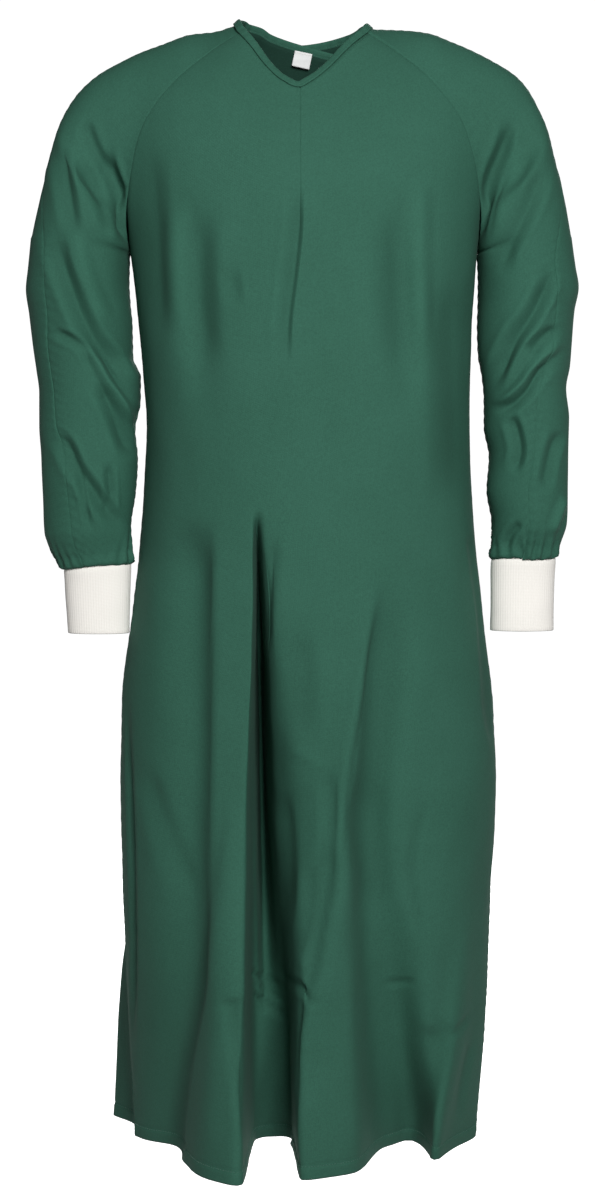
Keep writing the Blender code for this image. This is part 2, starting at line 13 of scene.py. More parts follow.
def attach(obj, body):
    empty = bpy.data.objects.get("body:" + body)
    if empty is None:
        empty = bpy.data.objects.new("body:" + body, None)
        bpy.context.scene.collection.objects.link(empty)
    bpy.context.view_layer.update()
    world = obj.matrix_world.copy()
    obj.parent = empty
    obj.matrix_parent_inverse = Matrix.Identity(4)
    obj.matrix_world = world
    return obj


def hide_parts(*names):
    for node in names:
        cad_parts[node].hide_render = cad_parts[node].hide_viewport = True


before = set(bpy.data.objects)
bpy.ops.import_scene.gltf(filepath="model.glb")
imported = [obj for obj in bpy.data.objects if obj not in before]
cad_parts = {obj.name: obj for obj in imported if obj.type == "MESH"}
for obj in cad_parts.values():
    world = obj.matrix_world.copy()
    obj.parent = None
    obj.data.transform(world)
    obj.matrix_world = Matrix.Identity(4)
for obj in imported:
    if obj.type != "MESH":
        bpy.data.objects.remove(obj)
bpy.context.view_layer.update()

# The photograph's camera, which also says where on the cloth each crease lies.
EYE = np.array([-0.0056, -2.7935, -0.440])
LOOKS_DOWN = math.radians(3.890)
LENS, SENSOR = 75.0, 36.0
PHOTO_WIDE, PHOTO_HIGH = 596, 1200

# Real sizes.
CLOTH, KNIT, BINDING = 0.0015, 0.0025, 0.0026
UNDERARM_Z, HEM_Z = -0.245, -1.240
PASSES_CENTRE = 0.042  # how far each back panel runs past centre back
LAYER = 0.0055  # how far the inner back panel lies inside the outer one
LAYER_STEP = (-0.0645, -0.0430)  # x between which it goes inside
LABEL_WIDTH, LABEL_LONG = 0.020, 0.017

BINDING_SMOOTH = 4  # how many times the binding's directions are evened out

# The body in sections. left and right are how far the side seams are from the middle,
# front and back how far the middle of each is from the seams. square 2 is an ellipse.
# swell is how far the left back panel stands out past the front's side seam.
BODY_COLUMNS = ("z", "left", "right", "front", "back", "square_front", "square_back", "swell")
BODY = (
    (0.020, 0.070, 0.070, 0.045, 0.070, 2.00, 2.00, 0.000),
    (0.000, 0.082, 0.082, 0.050, 0.077, 2.00, 2.00, 0.000),
    (-0.030, 0.135, 0.138, 0.066, 0.086, 2.00, 2.00, 0.000),
    (-0.060, 0.190, 0.193, 0.082, 0.094, 2.00, 2.00, 0.000),
    (-0.085, 0.210, 0.211, 0.094, 0.100, 2.00, 2.00, 0.000),
    (-0.130, 0.212, 0.213, 0.114, 0.109, 2.00, 2.00, 0.000),
    (-0.190, 0.202, 0.202, 0.130, 0.116, 2.10, 2.10, 0.000),
    (-0.245, 0.191, 0.193, 0.138, 0.120, 2.20, 2.20, 0.000),
    (-0.275, 0.187, 0.190, 0.141, 0.121, 2.25, 2.25, 0.000),
    (-0.340, 0.181, 0.186, 0.145, 0.118, 2.30, 2.30, 0.000),
    (-0.440, 0.174, 0.185, 0.147, 0.108, 2.30, 2.30, 0.000),
    (-0.518, 0.178, 0.188, 0.146, 0.104, 2.20, 2.30, 0.000),
    (-0.630, 0.189, 0.199, 0.146, 0.108, 2.20, 2.30, 0.000),
    (-0.743, 0.204, 0.213, 0.148, 0.115, 2.15, 2.30, 0.000),
    (-0.833, 0.2055, 0.217, 0.150, 0.120, 2.10, 2.40, 0.004),
    (-0.970, 0.2025, 0.211, 0.156, 0.126, 1.95, 2.50, 0.020),
    (-1.084, 0.1985, 0.2075, 0.162, 0.132, 1.65, 2.60, 0.042),
    (-1.240, 0.190, 0.196, 0.170, 0.140, 1.30, 2.60, 0.060),
)
SWELL_POWER = 1.9  # moves the swell's middle round to the back

# The largest folds. A fold runs down from one height to another, its middle at x from,
# halfway and to, and pushes the cloth in by depth, or out where depth is below 0. One
# that ends at the hem grows all the way down, and the others fade out again.
FOLD_COLUMNS = (
    "face", "z_from", "z_to", "x_from", "x_half", "x_to", "left_from", "left_to",
    "right_from", "right_to", "depth", "growth", "flat",
)
# Above the lower skirt a flat-bottomed fold is a sharp V: how flat its left and right
# banks start out, how much wider the right one is, and how narrow the fold begins.
BROAD, LEFT_BANK, RIGHT_BANK, SPREAD, NARROW = 3, 4.0, 1.4, 1.5, 0.35
# The shares of its length between which it widens, and its banks take their full shape.
WIDENS, LEFT_FILLS, RIGHT_FILLS = (0.0, 0.45), (0.05, 0.70), (0.45, 0.95)
FOLDS = (
    # the deep valley with the dark slot along its middle, and the second valley
    ("front", -0.532, HEM_Z, -0.0495, -0.0450, -0.036, 0.003, 0.025, 0.009, 0.029, 0.150, 0.75, 8),
    ("front", -0.528, -1.090, -0.0505, -0.0480, -0.041, 0.002, 0.006, 0.004, 0.014, 0.096, 1.00, 2.5),
    ("front", -0.590, HEM_Z, 0.084, 0.080, 0.105, 0.010, 0.035, 0.024, 0.032, 0.076, 1.50, 4),
    # the lit lobe, the slanting ridge and the last lobe
    ("front", -0.820, HEM_Z, -0.078, -0.079, -0.088, 0.016, 0.042, 0.020, 0.036, -0.060, 1.40, 4),
    ("front", -0.560, -1.120, 0.080, 0.052, 0.014, 0.020, 0.034, 0.012, 0.018, -0.012, 1.00, 2),
    ("front", -0.960, HEM_Z, 0.184, 0.166, 0.142, 0.014, 0.016, 0.014, 0.018, -0.030, 1.00, 2),
    # the chest
    ("front", -0.190, -0.440, -0.113, -0.110, -0.106, 0.014, 0.020, 0.016, 0.022, 0.009, 1.00, 2),
    ("front", -0.190, -0.430, 0.102, 0.106, 0.112, 0.014, 0.020, 0.014, 0.020, 0.009, 1.00, 2),
    # the hidden backs, with folds like those of the front
    ("back", -0.560, HEM_Z, -0.104, -0.106, -0.112, 0.014, 0.034, 0.018, 0.034, 0.055, 1.20, 3),
    ("back", -0.480, HEM_Z, 0.098, 0.104, 0.116, 0.018, 0.034, 0.014, 0.036, 0.060, 1.20, 3),
    ("back", -0.620, HEM_Z, 0.012, 0.018, 0.026, 0.022, 0.036, 0.022, 0.036, 0.030, 1.20, 2),
    ("back", -0.180, -0.450, -0.110, -0.112, -0.106, 0.016, 0.022, 0.016, 0.022, 0.008, 1.00, 2),
    ("back", -0.160, -0.430, 0.104, 0.108, 0.110, 0.016, 0.022, 0.016, 0.022, 0.008, 1.00, 2),
)
# Between these heights the panels' columns move over to follow the folds that reach the hem.
ALIGN_FROM, ALIGN_TO = -0.32, -0.62
ALIGN_AT = (-1.35, -0.78, 0.78, 1.35)
ALIGN_DEPTH = {"front": 0.10, "back": 0.05}  # only folds at least this deep
SEAM_CALM = 0.12  # the share of the width beside a side seam where folds fade out
EVEN_WITHIN = 0.3  # the share of the front beside a raglan seam where the rows follow it

# The raglan seams, neck to underarm, seen from the front. y comes from the body.
RAGLAN_COLUMNS = ("x_front", "z_front", "x_back", "z_back")
RAGLAN = (
    (0.0700, -0.008, 0.0640, -0.001),
    (0.0910, -0.022, 0.0920, -0.026),
    (0.1090, -0.036, 0.1180, -0.048),
    (0.1320, -0.056, 0.1410, -0.074),
    (0.1580, -0.085, 0.1600, -0.102),
    (0.1730, -0.108, 0.1745, -0.132),
    (0.1830, -0.137, 0.1850, -0.163),
    (0.1895, -0.168, 0.1905, -0.193),
    (0.1935, -0.203, 0.1930, -0.220),
    (0.1920, -0.245, 0.1920, -0.245),
)

BACK_NECK_LIFT = {"left": 0.007, "right": 0.001}  # of the back seams' upper ends
LIFT_REACH = 0.25  # the share of the seam that this lifts
SEAM_CLOSES = 4  # how late down the seam its end moves over to the side seam

# The neck seam of the front, and the heights of the backs' neck seam.
FRONT_NECK_COLUMNS = ("x", "z")
FRONT_NECK = (
    (-0.0700, -0.008),
    (-0.0570, -0.025),
    (-0.0410, -0.048),
    (-0.0240, -0.065),
    (-0.0050, -0.074),
    (0.0090, -0.067),
    (0.0240, -0.055),
    (0.0520, -0.025),
    (0.0700, -0.008),
)
BACK_NECK_COLUMNS = ("x", "inner_z", "outer_z")
BACK_NECK = (
    (-0.0640, 0.0060, -0.0140),
    (-0.0500, 0.0035, -0.0140),
    (-0.0400, -0.0020, -0.0140),
    (-0.0250, -0.0070, -0.0135),
    (0.0000, -0.0140, -0.0125),
    (0.0180, -0.0190, -0.0105),
    (0.0330, -0.0230, -0.0080),
    (0.0450, -0.0260, -0.0055),
    (0.0560, -0.0270, -0.0030),
    (0.0640, -0.0280, 0.0000),
)

# The sleeve over the shoulder, neck to underarm: the ridge of the shoulder, and how
# strongly the section bulges by the raglan seam and by the ridge.
CAP_COLUMNS = ("t", "x_left", "z_left", "x_right", "z_right", "by_seam", "by_ridge")
CAP = (
    (0.00, 0.0750, 0.0050, 0.0750, 0.0000, 0.008, 0.014),
    (0.15, 0.1000, -0.0035, 0.1050, -0.0010, 0.004, 0.022),
    (0.25, 0.1250, -0.0060, 0.1370, -0.0040, 0.004, 0.030),
    (0.35, 0.1580, -0.0175, 0.1660, -0.0150, 0.006, 0.038),
    (0.45, 0.1930, -0.0320, 0.2060, -0.0320, 0.010, 0.046),
    (0.55, 0.2280, -0.0520, 0.2370, -0.0520, 0.015, 0.053),
    (0.65, 0.2515, -0.0750, 0.2540, -0.0750, 0.022, 0.060),
    (0.75, 0.2690, -0.1050, 0.2680, -0.1050, 0.034, 0.068),
    (0.85, 0.2800, -0.1420, 0.2780, -0.1420, 0.052, 0.077),
    (0.93, 0.2910, -0.1860, 0.2890, -0.1860, 0.074, 0.086),
    (1.00, 0.3000, -0.2260, 0.2960, -0.2260, 0.093, 0.093),
)

# The arm of the sleeve in rings, and the cuff. inner and outer are the ring's edges,
# y where they are, fore and aft how deep the ring is, and turn how far the overarm
# seam lies in front of the outer edge, as a share of the front half.
ARM_COLUMNS = (
    "z", "inner_left", "outer_left", "inner_right", "outer_right", "y", "fore", "aft",
    "turn_left", "turn_right",
)
ARM = (
    (-0.240, 0.1920, 0.3010, 0.1920, 0.2965, 0.000, 0.070, 0.068, 0.26, 0.28),
    (-0.275, 0.1930, 0.3050, 0.1935, 0.3010, -0.001, 0.069, 0.066, 0.29, 0.33),
    (-0.297, 0.1915, 0.3070, 0.1935, 0.3045, -0.002, 0.068, 0.065, 0.30, 0.33),
    (-0.324, 0.1890, 0.3030, 0.1930, 0.3000, -0.004, 0.066, 0.063, 0.29, 0.31),
    (-0.360, 0.1890, 0.2985, 0.1940, 0.2975, -0.006, 0.062, 0.060, 0.26, 0.33),
    (-0.385, 0.1800, 0.2950, 0.1980, 0.2960, -0.008, 0.060, 0.058, 0.25, 0.39),
    (-0.410, 0.1800, 0.2920, 0.2000, 0.2920, -0.010, 0.058, 0.055, 0.26, 0.43),
    (-0.444, 0.1860, 0.2920, 0.2000, 0.2955, -0.012, 0.054, 0.052, 0.29, 0.46),
    (-0.479, 0.1825, 0.2895, 0.2050, 0.2950, -0.014, 0.051, 0.048, 0.34, 0.49),
    (-0.518, 0.1850, 0.2880, 0.2030, 0.2940, -0.016, 0.047, 0.044, 0.36, 0.52),
    (-0.560, 0.1905, 0.2860, 0.2090, 0.2925, -0.018, 0.041, 0.039, 0.39, 0.53),
    (-0.580, 0.1900, 0.2790, 0.2090, 0.2870, -0.019, 0.033, 0.032, 0.39, 0.53),
    (-0.597, 0.1900, 0.2660, 0.2080, 0.2800, -0.020, 0.025, 0.024, 0.39, 0.53),
)
CUFF_COLUMNS = ("share", "inner_left", "outer_left", "inner_right", "outer_right", "deep")
CUFF = (
    (0.0, 0.1905, 0.2660, 0.2090, 0.2805, 0.024),
    (0.3, 0.1915, 0.2645, 0.2085, 0.2795, 0.022),
    (1.0, 0.1930, 0.2615, 0.2085, 0.2785, 0.021),
)
CUFF_TOP = {"left": -0.591, "right": -0.579}
CUFF_TILT = {"left": 0.006, "right": -0.001}  # how much higher its inner side is
CUFF_END = {"left": -0.664, "right": -0.661}
CUFF_Y = -0.020
CAP_TURNS = (0.82, 1.03)  # where over the shoulder the overarm seam turns to the front
HANDLE = 4 / 3  # a curve's handles, for each unit that it bulges
FINE = 201  # points on a curve before it is evened out
LEVEL_FINE = 6 * FINE  # on a level section, whose folds are narrow
ARCH_FINE = 6  # on a sleeve's curve, for each of its columns
LEAVES = (0.62, 0.95)  # where down the raglan seam the sleeve starts to leave it straight out
TANGENT_STEP = 0.002

# The neck's axis, and the label.
NECK_AXIS_Y = -0.005
LABEL_AT, LABEL_TURN, LABEL_CLEAR = (-0.001, -0.022), math.radians(12), 0.0030
LABEL_FINE = 16

# How far the binding leans inward for each unit it rises, round from the front.
LEAN_COLUMNS = ("degrees", "lean")
LEAN = ((0, 0.80), (35, 1.50), (60, 1.50), (90, 1.20), (140, 0.45), (180, 0.30))


def values(table, names, name):
    """One column of a table."""
    return np.array([row[names.index(name)] for row in table], float)


def follow(xs, ys, at):
    """A smooth line through a table's values, which never swings past them."""
    if xs[0] > xs[-1]:
        xs, ys = xs[::-1], ys[::-1]
    step = np.diff(xs)
    slope = np.diff(ys) / step
    product = slope[1:] * slope[:-1]
    total = np.where(product > 0, slope[1:] + slope[:-1], 1.0)
    middle = np.where(product > 0, 2 * product / total, 0.0)
    tangent = np.concatenate([slope[:1], middle, slope[-1:]])
    at = np.clip(at, xs[0], xs[-1])
    i = np.clip(np.searchsorted(xs, at, side="right") - 1, 0, len(step) - 1)
    t = (at - xs[i]) / step[i]
    rise = tangent[i] * t * (1 - t) ** 2 + tangent[i + 1] * t * t * (t - 1)
    return ys[i] * (1 + 2 * t) * (1 - t) ** 2 + ys[i + 1] * t * t * (3 - 2 * t) + rise * step[i]


def read(table, names, name, at):
    """A table's column on a smooth line, at these values of its first column."""
    return follow(values(table, names, names[0]), values(table, names, name), at)


def body(name, z):
    return read(BODY, BODY_COLUMNS, name, z)


def arm(name, z):
    return read(ARM, ARM_COLUMNS, name, z)


def cap(name, t):
    return read(CAP, CAP_COLUMNS, name, t)


def ease(at, start, end):
    """0 before start, 1 past end and a smooth step between them."""
    t = np.clip((at - start) / (end - start), 0, 1)
    return t * t * (3 - 2 * t)


def fold_line(fold, z):
    """A fold's middle, its half-widths left and right of it, and its strength, at z."""
    top, low = fold["z_from"], fold["z_to"]
    t = np.clip((top - z) / (top - low), 0, 1)
    path = np.array([fold["x_from"], fold["x_half"], fold["x_to"]])
    middle = follow(np.array([0.0, 0.5, 1.0]), path, t)
    left = fold["left_from"] + (fold["left_to"] - fold["left_from"]) * t
    right = fold["right_from"] + (fold["right_to"] - fold["right_from"]) * t
    return middle, left, right, t ** fold["growth"] if low == HEM_Z else np.sin(np.pi * t)


def folds_of(face):
    return [fold for fold in (dict(zip(FOLD_COLUMNS, row)) for row in FOLDS) if fold["face"] == face]


def folded(face, x, z):
    """How far the folds push in the cloth at x, z."""
    total = np.zeros(np.broadcast(x, z).shape)
    for fold in folds_of(face):
        middle, left, right, strength = fold_line(fold, z)
        off = (x - middle) / np.where(x < middle, left, right)
        flat = fold["flat"]
        if flat > BROAD:
            t = (fold["z_from"] - z) / (fold["z_from"] - fold["z_to"])
            on_left, grown = x < middle, NARROW + (1 - NARROW) * ease(t, *WIDENS)
            down = np.where(on_left, ease(t, *LEFT_FILLS), ease(t, *RIGHT_FILLS))
            off = off / grown / np.where(on_left, 1, SPREAD + (1 - SPREAD) * down)
            bank = np.where(on_left, LEFT_BANK, RIGHT_BANK)
            flat = bank + (flat - bank) * down
        total += fold["depth"] * strength * np.exp(-np.abs(off) ** flat)
    return total


def rounded(face, x, z):
    """How far out to the side x is, and how high the section is there before its folds."""
    square = body("square_" + face, z)
    share = np.clip(np.abs(x) / np.where(x < 0, body("left", z), body("right", z)), 0, 1)
    return share, (1 - share**square) ** (1 / square)


def depth(face, x, z):
    """y of the body's front or back at x, z."""
    share, height = rounded(face, x, z)
    # A fold fades out by the side seam, which stays where the section puts it.
    fold = folded(face, x, z) * ease(1 - share, 0.0, SEAM_CALM)
    if face == "front":
        return -body("front", z) * height + fold
    return body("back", z) * height - fold


def swollen(x, z):
    """x of the back's points, moved out to the left beside the left side seam."""
    out = np.sin(np.pi * rounded("back", x, z)[1] ** SWELL_POWER) ** 2
    return x - np.where(x < 0, body("swell", z) * out, 0)


def even(points, count):
    """count + 1 points at even distances along a line."""
    points = np.asarray(points, float)
    length = lengths(points)
    at = np.linspace(0, length[-1], count + 1)
    return np.stack([np.interp(at, length, points[:, k]) for k in range(points.shape[1])], 1)


def level_line(face, z, x_from, x_to):
    """Many points along one level section of the body between two x."""
    angle = np.linspace(0, np.pi, LEVEL_FINE)
    reach = np.where(angle < np.pi / 2, body("left", z), body("right", z))
    square = body("square_" + face, z)
    x = -reach * np.sign(np.cos(angle)) * np.abs(np.cos(angle)) ** (2 / square)
    x = np.unique(np.clip(x, max(x_from, -reach[0]), min(x_to, reach[-1])))
    return np.stack([x, depth(face, x, z), np.full(len(x), z)], 1)


def lengths(points):
    """How far along a line each of its points lies."""
    return np.concatenate([[0], np.cumsum(np.linalg.norm(np.diff(points, axis=0), axis=1))])


def section(face, z, x_from, x_to, count):
    """One level section of the body, its columns even along the cloth and, in the
    skirt, kept beside the same fold all the way down."""
    line = level_line(face, z, x_from, x_to)
    length = lengths(line)
    shares = np.linspace(0, 1, count + 1)
    blend = ease(-z, -ALIGN_FROM, -ALIGN_TO)
    if blend > 0:
        hem = level_line(face, HEM_Z, x_from, x_to)
        marks = [(0.0, 0.0)]
        for fold in folds_of(face):
            if fold["z_to"] != HEM_Z or fold["depth"] < ALIGN_DEPTH[face]:
                continue
            for at in ALIGN_AT:
                here, there = (
                    middle + at * (left if at < 0 else right)
                    for middle, left, right, _ in (fold_line(fold, z), fold_line(fold, HEM_Z))
                )
                if min(here, there) < line[0, 0] or max(here, there) > line[-1, 0]:
                    continue
                marks.append((
                    np.interp(there, hem[:, 0], lengths(hem)) / lengths(hem)[-1],
                    np.interp(here, line[:, 0], length) / length[-1],
                ))
        marks = np.array(sorted(marks + [(1.0, 1.0)]))
        shares = shares * (1 - blend) + np.interp(shares, marks[:, 0], marks[:, 1]) * blend
    at = shares * length[-1]
    points = np.stack([np.interp(at, length, line[:, k]) for k in range(3)], 1)
    if face == "back":
        points[:, 0] = swollen(points[:, 0], z)
    return points


def raglan(face, side, count):
    """Points along a raglan seam, neck to underarm, at even distances."""
    sign = -1 if side == "left" else 1
    x = values(RAGLAN, RAGLAN_COLUMNS, "x_" + face)
    z = values(RAGLAN, RAGLAN_COLUMNS, "z_" + face)
    at, steps = np.linspace(0, 1, len(x)), np.linspace(0, 1, FINE)
    x = follow(at, x, steps)
    z = follow(at, z, steps)
    x += (body(side, UNDERARM_Z) - x[-1]) * steps**SEAM_CLOSES
    if face == "back":
        z += BACK_NECK_LIFT[side] * (1 - ease(steps, 0, LIFT_REACH))
    y = depth(face, sign * x, z)
    return even(np.stack([sign * x, y, z], 1), count)


def yoke(top, left, right, low):
    """Points in x and z between four lines, row by row from the top."""
    v = np.linspace(0, 1, len(left))[:, None, None]
    u = np.linspace(0, 1, len(top))[None, :, None]
    rows = (1 - v) * top[None] + v * low[None] + (1 - u) * left[:, None] + u * right[:, None]
    corners = (1 - v) * ((1 - u) * top[0] + u * top[-1]) + v * ((1 - u) * low[0] + u * low[-1])
    return rows - corners


def front_grid(across, yoke_rows, heights):
    """The front panel, neck to hem, from its left side seam to its right one."""
    low = section("front", UNDERARM_Z, -1, 1, across)[:, [0, 2]]
    left = raglan("front", "left", yoke_rows)[:, [0, 2]]
    right = raglan("front", "right", yoke_rows)[:, [0, 2]]
    steps = np.linspace(FRONT_NECK[0][0], FRONT_NECK[-1][0], FINE)
    neck_z = read(FRONT_NECK, FRONT_NECK_COLUMNS, "z", steps)
    top = even(np.stack([steps, neck_z], 1), across)
    flat = yoke(top, left, right, low)
    # Away from the raglan seams the rows come down in even steps.
    share = np.linspace(0, 1, across + 1)
    inner = ease(np.minimum(share, 1 - share), 0, EVEN_WITHIN)
    evenly = top[:, 1] + (low[:, 1] - top[:, 1]) * np.linspace(0, 1, yoke_rows + 1)[:, None]
    flat[..., 1] += (evenly - flat[..., 1]) * inner
    upper = np.stack([flat[..., 0], depth("front", flat[..., 0], flat[..., 1]), flat[..., 1]], 2)
    lower = [section("front", z, -1, 1, across) for z in heights[1:]]
    return np.concatenate([upper, np.array(lower)])


def back_grid(side, across, yoke_rows, heights):
    """A back panel from its side seam to its free edge past the centre."""
    free = PASSES_CENTRE if side == "left" else -PASSES_CENTRE
    span = (-1, free) if side == "left" else (free, 1)
    low = section("back", UNDERARM_Z, *span, across)[:, [0, 2]]
    seam = raglan("back", side, yoke_rows)[:, [0, 2]]
    ends = (BACK_NECK[0][0], free) if side == "left" else (free, BACK_NECK[-1][0])
    level = "inner_z" if side == "left" else "outer_z"
    steps = np.linspace(*ends, FINE)
    neck_z = read(BACK_NECK, BACK_NECK_COLUMNS, level, steps)
    top = even(np.stack([steps, neck_z], 1), across)
    free_z = top[-1, 1] if side == "left" else top[0, 1]
    edge = np.linspace((free, free_z), (free, UNDERARM_Z), yoke_rows + 1)
    flat = yoke(top, seam, edge, low) if side == "left" else yoke(top, edge, seam, low)
    upper = np.stack([flat[..., 0], depth("back", flat[..., 0], flat[..., 1]), flat[..., 1]], 2)
    lower = [section("back", z, *span, across) for z in heights[1:]]
    points = np.concatenate([upper, np.array(lower)])
    if side == "left":
        points[..., 1] -= LAYER * ease(points[..., 0], *LAYER_STEP)
    return points


def arch(start, ridge, end, by_start, by_ridge, by_end, s):
    """A sleeve section from the front seam (s 0) over the ridge (s 1) to the back (s 2)."""
    front, back = np.clip(s, 0, 1)[:, None], np.clip(s - 1, 0, 1)[:, None]
    push = np.array([0.0, 1.0, 0.0])
    curves = []
    for t, a, b, from_a, from_b in (
        (front, start, ridge, by_start, -push * by_ridge[0]),
        (back, ridge, end, push * by_ridge[1], by_end),
    ):
        one, two = a + from_a, b + from_b
        curves.append(
            a * (1 - t) ** 3 + 3 * one * t * (1 - t) ** 2 + 3 * two * t * t * (1 - t) + b * t**3
        )
    return np.where(s[:, None] <= 1, curves[0], curves[1])


def leaving(face, side, seam, t):
    """The way that the sleeve leaves a point of the raglan seam: along the body over the
    shoulder, and straight out of it by the underarm."""
    sign = -1 if side == "left" else 1
    along = np.gradient(seam, axis=0)
    over = np.stack([-along[:, 2] * sign, np.zeros(len(seam)), along[:, 0] * sign], 1)
    over *= TANGENT_STEP / np.linalg.norm(over, axis=1, keepdims=True)
    over[:, 1] = depth(face, seam[:, 0] + over[:, 0], seam[:, 2] + over[:, 2]) - seam[:, 1]
    over[:, 1] = np.clip(over[:, 1], -TANGENT_STEP, TANGENT_STEP)
    over /= np.linalg.norm(over, axis=1, keepdims=True)
    straight = np.array([0.0, -1.0 if face == "front" else 1.0, 0.0])
    return unit(over + (straight - over) * ease(t, *LEAVES)[:, None])


def half_steps(half, turn, across):
    """Steps round the front or back half of a sleeve section, to the overarm seam."""
    return np.linspace(*((0, 1 - turn) if half == "front" else (1 - turn, 2)), across * ARCH_FINE + 1)


def sleeve_grid(side, half, across, cap_rows, arm_rows):
    """Half of a sleeve, neck to cuff, its columns from the front round to the back."""
    sign = -1 if side == "left" else 1
    fronts, backs = raglan("front", side, cap_rows), raglan("back", side, cap_rows)
    steps = np.linspace(0, 1, cap_rows + 1)
    from_front, from_back = leaving("front", side, fronts, steps), leaving("back", side, backs, steps)
    rows = []
    for i, t in enumerate(steps):
        ridge = np.array([sign * cap("x_" + side, t), 0.0, cap("z_" + side, t)])
        turn = arm("turn_" + side, UNDERARM_Z) * ease(t, *CAP_TURNS)
        s = half_steps(half, turn, across)
        bulge, crest = cap("by_seam", t), cap("by_ridge", t)
        line = arch(
            fronts[i], ridge, backs[i], from_front[i] * bulge, (crest, crest), from_back[i] * bulge, s
        )
        rows.append(even(line, across))
    start_z, end_z = ARM[0][0], ARM[-1][0]
    for t in np.linspace(0, 1, arm_rows + 1)[1:]:
        inner_z = UNDERARM_Z + (CUFF_TOP[side] + CUFF_TILT[side] - UNDERARM_Z) * t
        outer_z = cap("z_" + side, 1.0) + (CUFF_TOP[side] - cap("z_" + side, 1.0)) * t
        z = start_z + (end_z - start_z) * t
        start = np.array([sign * arm("inner_" + side, z), arm("y", z), inner_z])
        ridge = np.array([sign * arm("outer_" + side, z), arm("y", z), outer_z])
        s = half_steps(half, arm("turn_" + side, z), across)
        fore, aft = arm("fore", z) * HANDLE, arm("aft", z) * HANDLE
        push = np.array([0.0, 1.0, 0.0])
        line = arch(start, ridge, start, -push * fore, (fore, aft), push * aft, s)
        rows.append(even(line, across))
    return np.array(rows)


def cuff_grid(side, rows, round_count):
    """A cuff in rings, from the sleeve to the wrist."""
    sign = -1 if side == "left" else 1
    grid = []
    for t in np.linspace(0, 1, rows + 1):
        inner, outer, deep = (
            read(CUFF, CUFF_COLUMNS, name, t) for name in ("inner_" + side, "outer_" + side, "deep")
        )
        z = CUFF_TOP[side] + (CUFF_END[side] - CUFF_TOP[side]) * t
        start = np.array([sign * inner, CUFF_Y, z + CUFF_TILT[side] * (1 - t)])
        ridge = np.array([sign * outer, CUFF_Y, z])
        push = np.array([0.0, deep * HANDLE, 0.0])
        crest = (push[1], push[1])
        line = arch(start, ridge, start, -push, crest, push, np.linspace(0, 2, FINE))
        grid.append(even(line, round_count)[:-1])
    return np.array(grid)


def neck_line(front, left, right, sleeves):
    """The neck seam from the inner back's free edge round the front to the outer back's."""
    parts = [
        left[0][::-1], sleeves["left", "back"][0][::-1], sleeves["left", "front"][0][::-1],
        front[0], sleeves["right", "front"][0], sleeves["right", "back"][0], right[0][::-1],
    ]
    line = [parts[0]] + [part[1:] for part in parts[1:]]
    return np.concatenate(line)


def binding_frame(line, count):
    """The neck seam at even distances, and which way is up and out for the binding there."""
    low = even(line, count)
    along = np.gradient(low, axis=0)
    along /= np.linalg.norm(along, axis=1, keepdims=True)
    round_neck = np.degrees(np.arctan2(np.abs(low[:, 0]), NECK_AXIS_Y - low[:, 1]))
    lean = read(LEAN, LEAN_COLUMNS, "lean", round_neck)
    inward = np.array([0, NECK_AXIS_Y, 0]) - low * np.array([1, 1, 0])
    inward /= np.linalg.norm(inward, axis=1, keepdims=True)
    way = inward * lean[:, None] + np.array([0, 0, 1.0])
    way -= along * (way * along).sum(axis=1, keepdims=True)
    way /= np.linalg.norm(way, axis=1, keepdims=True)
    for _ in range(BINDING_SMOOTH):
        way[1:-1] = (way[:-2] + 2 * way[1:-1] + way[2:]) / 4
    return low, way, np.cross(way, along)


def label_grid(quads):
    """The label, hanging inside the inner back panel over the binding's edge."""
    steps = np.linspace(-0.5, 0.5, quads + 1)
    across, down = np.meshgrid(steps * LABEL_WIDTH, -steps * LABEL_LONG)
    x = LABEL_AT[0] + across * math.cos(LABEL_TURN) + down * math.sin(LABEL_TURN)
    z = LABEL_AT[1] + down * math.cos(LABEL_TURN) - across * math.sin(LABEL_TURN)
    y = depth("back", x, np.minimum(z, LABEL_AT[1])) - LAYER - CLOTH - BINDING - LABEL_CLEAR
    return np.stack([x, y, z], 2)


